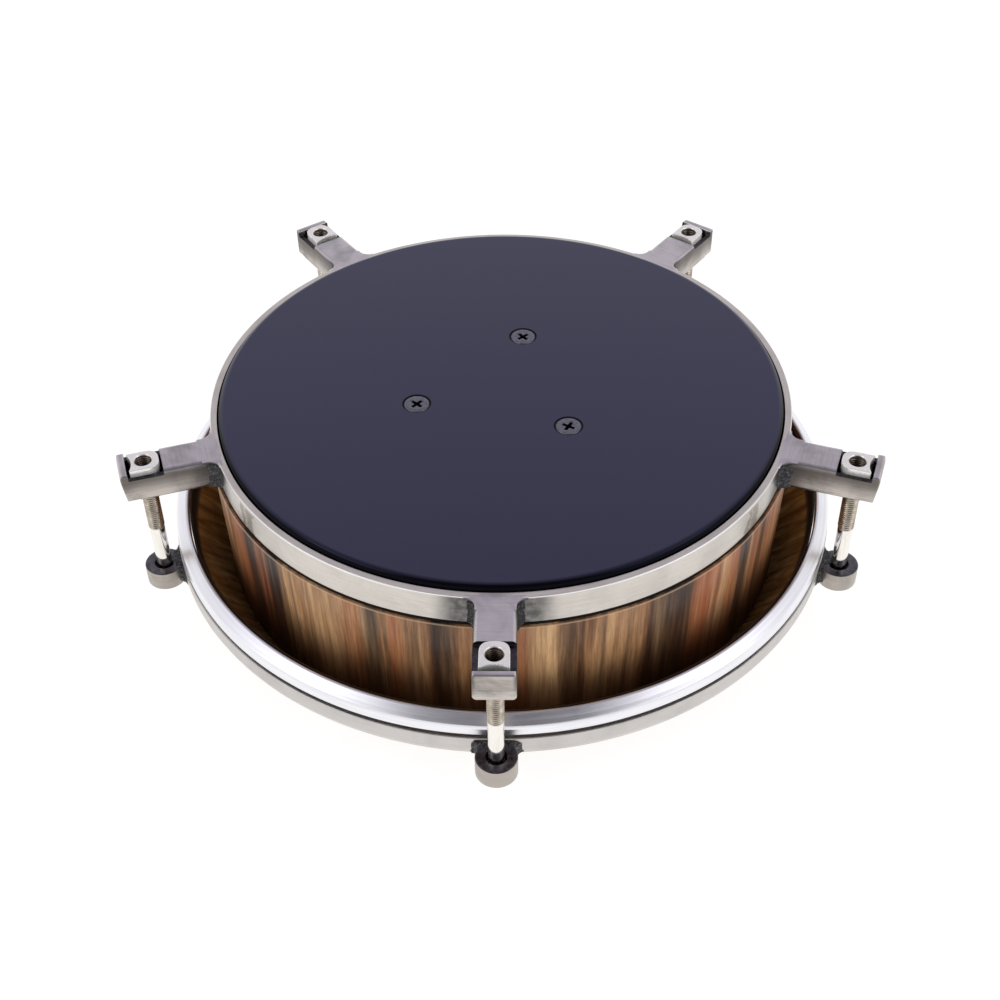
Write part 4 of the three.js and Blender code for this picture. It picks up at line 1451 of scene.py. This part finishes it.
for i in range(5):
    hoop_ear(i)
drop(ear)

# ================================================================ flesh hoop
# section: (radius, z, corner radius)
FLESH_IN, FLESH_OUT = 160.1, 167.05
FLESH_SECTION = [
    (FLESH_IN, FLESH_LO, 0.5), (FLESH_OUT, FLESH_LO, 0.8), (FLESH_OUT, FLESH_LO + 4.3, 2.2),
    (166.2, FLESH_LO + 5.7, 2.0), (164.7, FLESH_LO + 6.75, 0.15), (164.45, FLESH_LO + 6.95, 0.2),
    (163.2, FLESH_HI - 1.25, 1.6), (161.9, FLESH_HI - 0.15, 1.2), (160.9, FLESH_HI, 0.6),
    (FLESH_IN, FLESH_HI - 1.2, 1.0)]
flesh_hoop = lathe("flesh_hoop_channel", rounded(FLESH_SECTION, 4), 420, 24)
brush_uv(flesh_hoop, round_uv)
put(flesh_hoop, [ALUMINIUM], "rim", "hoop_aluminium", "flesh_hoop")

# ================================================================ drum head
SKIN = 1.0                              # thickness
ROLL_R, ROLL_Z, ROLL = 139.2, 3.4, 3.4  # centre and radius of the roll over the bearing edge
TUCK_IN, TUCK_OUT = 143.5, 158.6        # radii between which the collar is tucked


def head_profile():
    outer = [(0, 0), (60, 0), (120, 0), (138.5, 0)]
    # rolls over the bearing edge, then rises as a cone with a slight hollow
    for k in range(1, 9):
        angle = rad(-90 + 52 * k / 8)
        outer.append((ROLL_R + ROLL * math.cos(angle), ROLL_Z + ROLL * math.sin(angle)))
    start_r, start_z = outer[-1]
    for k in range(1, 11):
        s = k / 10
        outer.append((start_r + (158.4 - start_r) * (s ** 0.94),
                      start_z + (27.2 - start_z) * s))
    outer += [(159.25, 28.6), (159.60, 30.0), (159.72, HEAD_HI - 0.3),
              (159.74, HEAD_HI + 2.2), (159.74, HEAD_HI + 4.3)]
    inner = []
    for i, (radius, z) in enumerate(outer):
        before = outer[max(0, i - 1)]
        after = outer[min(len(outer) - 1, i + 1)]
        along = Vector((after[0] - before[0], after[1] - before[1])).normalized()
        inner.append((max(0.0, radius - along.y * SKIN), z + along.x * SKIN))
    inner[0] = (0, SKIN)
    edge = [(159.6, HEAD_HI + 4.6), (159.1, HEAD_HI + 4.6)]
    return outer + edge + inner[::-1]


def tucks(radius, z, angle):
    """soft tucks in the collar, none on the playing face or at the hoop"""
    if radius < TUCK_IN or radius > TUCK_OUT:
        return radius, z
    swell = math.sin(math.pi * (radius - TUCK_IN) / (TUCK_OUT - TUCK_IN))
    wave = (0.28 * math.sin(37 * angle + 1.3 * math.sin(5 * angle))
            + 0.18 * math.sin(83 * angle + 2 * math.sin(7 * angle)))
    return radius + wave * swell * 0.7, z - wave * swell * 0.5


head = lathe("drum_head_skin", head_profile(), 420, 50, tucks)
set_materials(head, [HIDE])
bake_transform(head)
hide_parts("drum_head")

# ================================================================ floor
FLOOR_HALF, FLOOR_Z = 6.0, -0.0006      # metres
floor_mesh = bpy.data.meshes.new("floor")
floor_mesh.from_pydata([(x * FLOOR_HALF, y * FLOOR_HALF, FLOOR_Z)
                        for x, y in ((-1, -1), (1, -1), (1, 1), (-1, 1))], [], [(0, 1, 2, 3)])
floor = bpy.data.objects.new("floor", floor_mesh)
bpy.context.scene.collection.objects.link(floor)


def floor_white():
    mat = Material("floor_white")
    cloud = mat.noise(mat.coords(), scale=40.0, detail=3.0, rough=0.5)
    base = mat.mix((0.30, 0.30, 0.30), (0.32, 0.32, 0.32), amount=mat.remap(cloud, (0.3, 0.7)))
    return mat.finish(Base_Color=base, Roughness=0.9, Specular_IOR_Level=0.0,
                      Emission_Color=(1, 1, 1), Emission_Strength=0.88)


floor_mesh.materials.append(floor_white())


# ================================================================ world
def vector_math(nodes, operation, vector):
    made = nodes.node("VectorMath", operation=operation)
    nodes.feed(made.inputs[0], vector)
    return made


# bright at the horizon, greyer overhead
SKY = [(0.0, (1.0, 1.0, 1.0)), (0.20, (0.96, 0.95, 0.95)), (0.45, (0.80, 0.78, 0.84)),
       (0.68, (0.66, 0.63, 0.72)), (0.85, (0.46, 0.44, 0.50)), (1.0, (0.34, 0.33, 0.37))]
DARK_TOWARDS = Vector((0, -0.62, 0.785)).normalized()

world = bpy.data.worlds.new("studio")
bpy.context.scene.world = world
world.use_nodes = True
sky = Nodes(world.node_tree)
output = sky.node("OutputWorld")
background = sky.node("Background")
direction = sky.coords("Generated")
colour = sky.ramp(sky.sep(direction)[2], SKY)
# a dark patch on the camera's side, seen as black lines in rounded edges that face it
unit = vector_math(sky, "NORMALIZE", direction)
facing = vector_math(sky, "DOT_PRODUCT", unit.outputs[0])
facing.inputs[1].default_value = tuple(DARK_TOWARDS)
patch = sky.remap(facing.outputs["Value"], (0.80, 0.95), to=(1.0, 0.12), smooth=True)
dimmed = vector_math(sky, "SCALE", colour)
sky.feed(dimmed.inputs["Scale"], patch)
sky.feed(background.inputs["Color"], dimmed.outputs[0])
sky.feed(background.inputs["Strength"], 1.0)
sky.feed(output.inputs[0], background.outputs[0])


# ================================================================ lights
def area_light(name, location, power, colour):
    """one metre wide, aimed at the drum"""
    light = bpy.data.lights.new(name, "AREA")
    light.shape = "RECTANGLE"
    light.size = 1.0
    light.size_y = 0.8
    light.energy = power
    light.color = colour
    ob = bpy.data.objects.new(name, light)
    ob.location = location
    aim = Vector((0, 0, 0.03)) - Vector(location)
    ob.rotation_euler = aim.to_track_quat("-Z", "Y").to_euler()
    bpy.context.scene.collection.objects.link(ob)


area_light("key_left", location=(-1.3, -0.7, 1.2), power=3.2, colour=(1.0, 0.985, 0.96))
area_light("key_right", location=(1.3, -0.6, 1.0), power=2.6, colour=(1.0, 0.99, 0.97))

# ================================================================ camera
CAMERA_AT = Vector((13.856, -605.970, 564.627)) * MM
CAMERA_RIGHT = Vector((0.999832, 0.01465874, -0.01100467)).normalized()
CAMERA_UP = Vector((-0.00167319, 0.67085264, 0.7415888)).normalized()
CAMERA_BACK = CAMERA_RIGHT.cross(CAMERA_UP)

lens = bpy.data.cameras.new("camera")
lens.sensor_width = 36.0
lens.lens = 56.01156
lens.clip_start = 0.01
lens.clip_end = 50
camera = bpy.data.objects.new("camera", lens)
turn = Matrix((CAMERA_RIGHT, CAMERA_UP, CAMERA_BACK)).transposed()
camera.matrix_world = Matrix.Translation(CAMERA_AT) @ turn.to_4x4()
scene = bpy.context.scene
scene.collection.objects.link(camera)
scene.camera = camera
scene.view_settings.view_transform = "Standard"
scene.view_settings.look = "None"
scene.view_settings.exposure = 0.0
scene.view_settings.gamma = 1.0
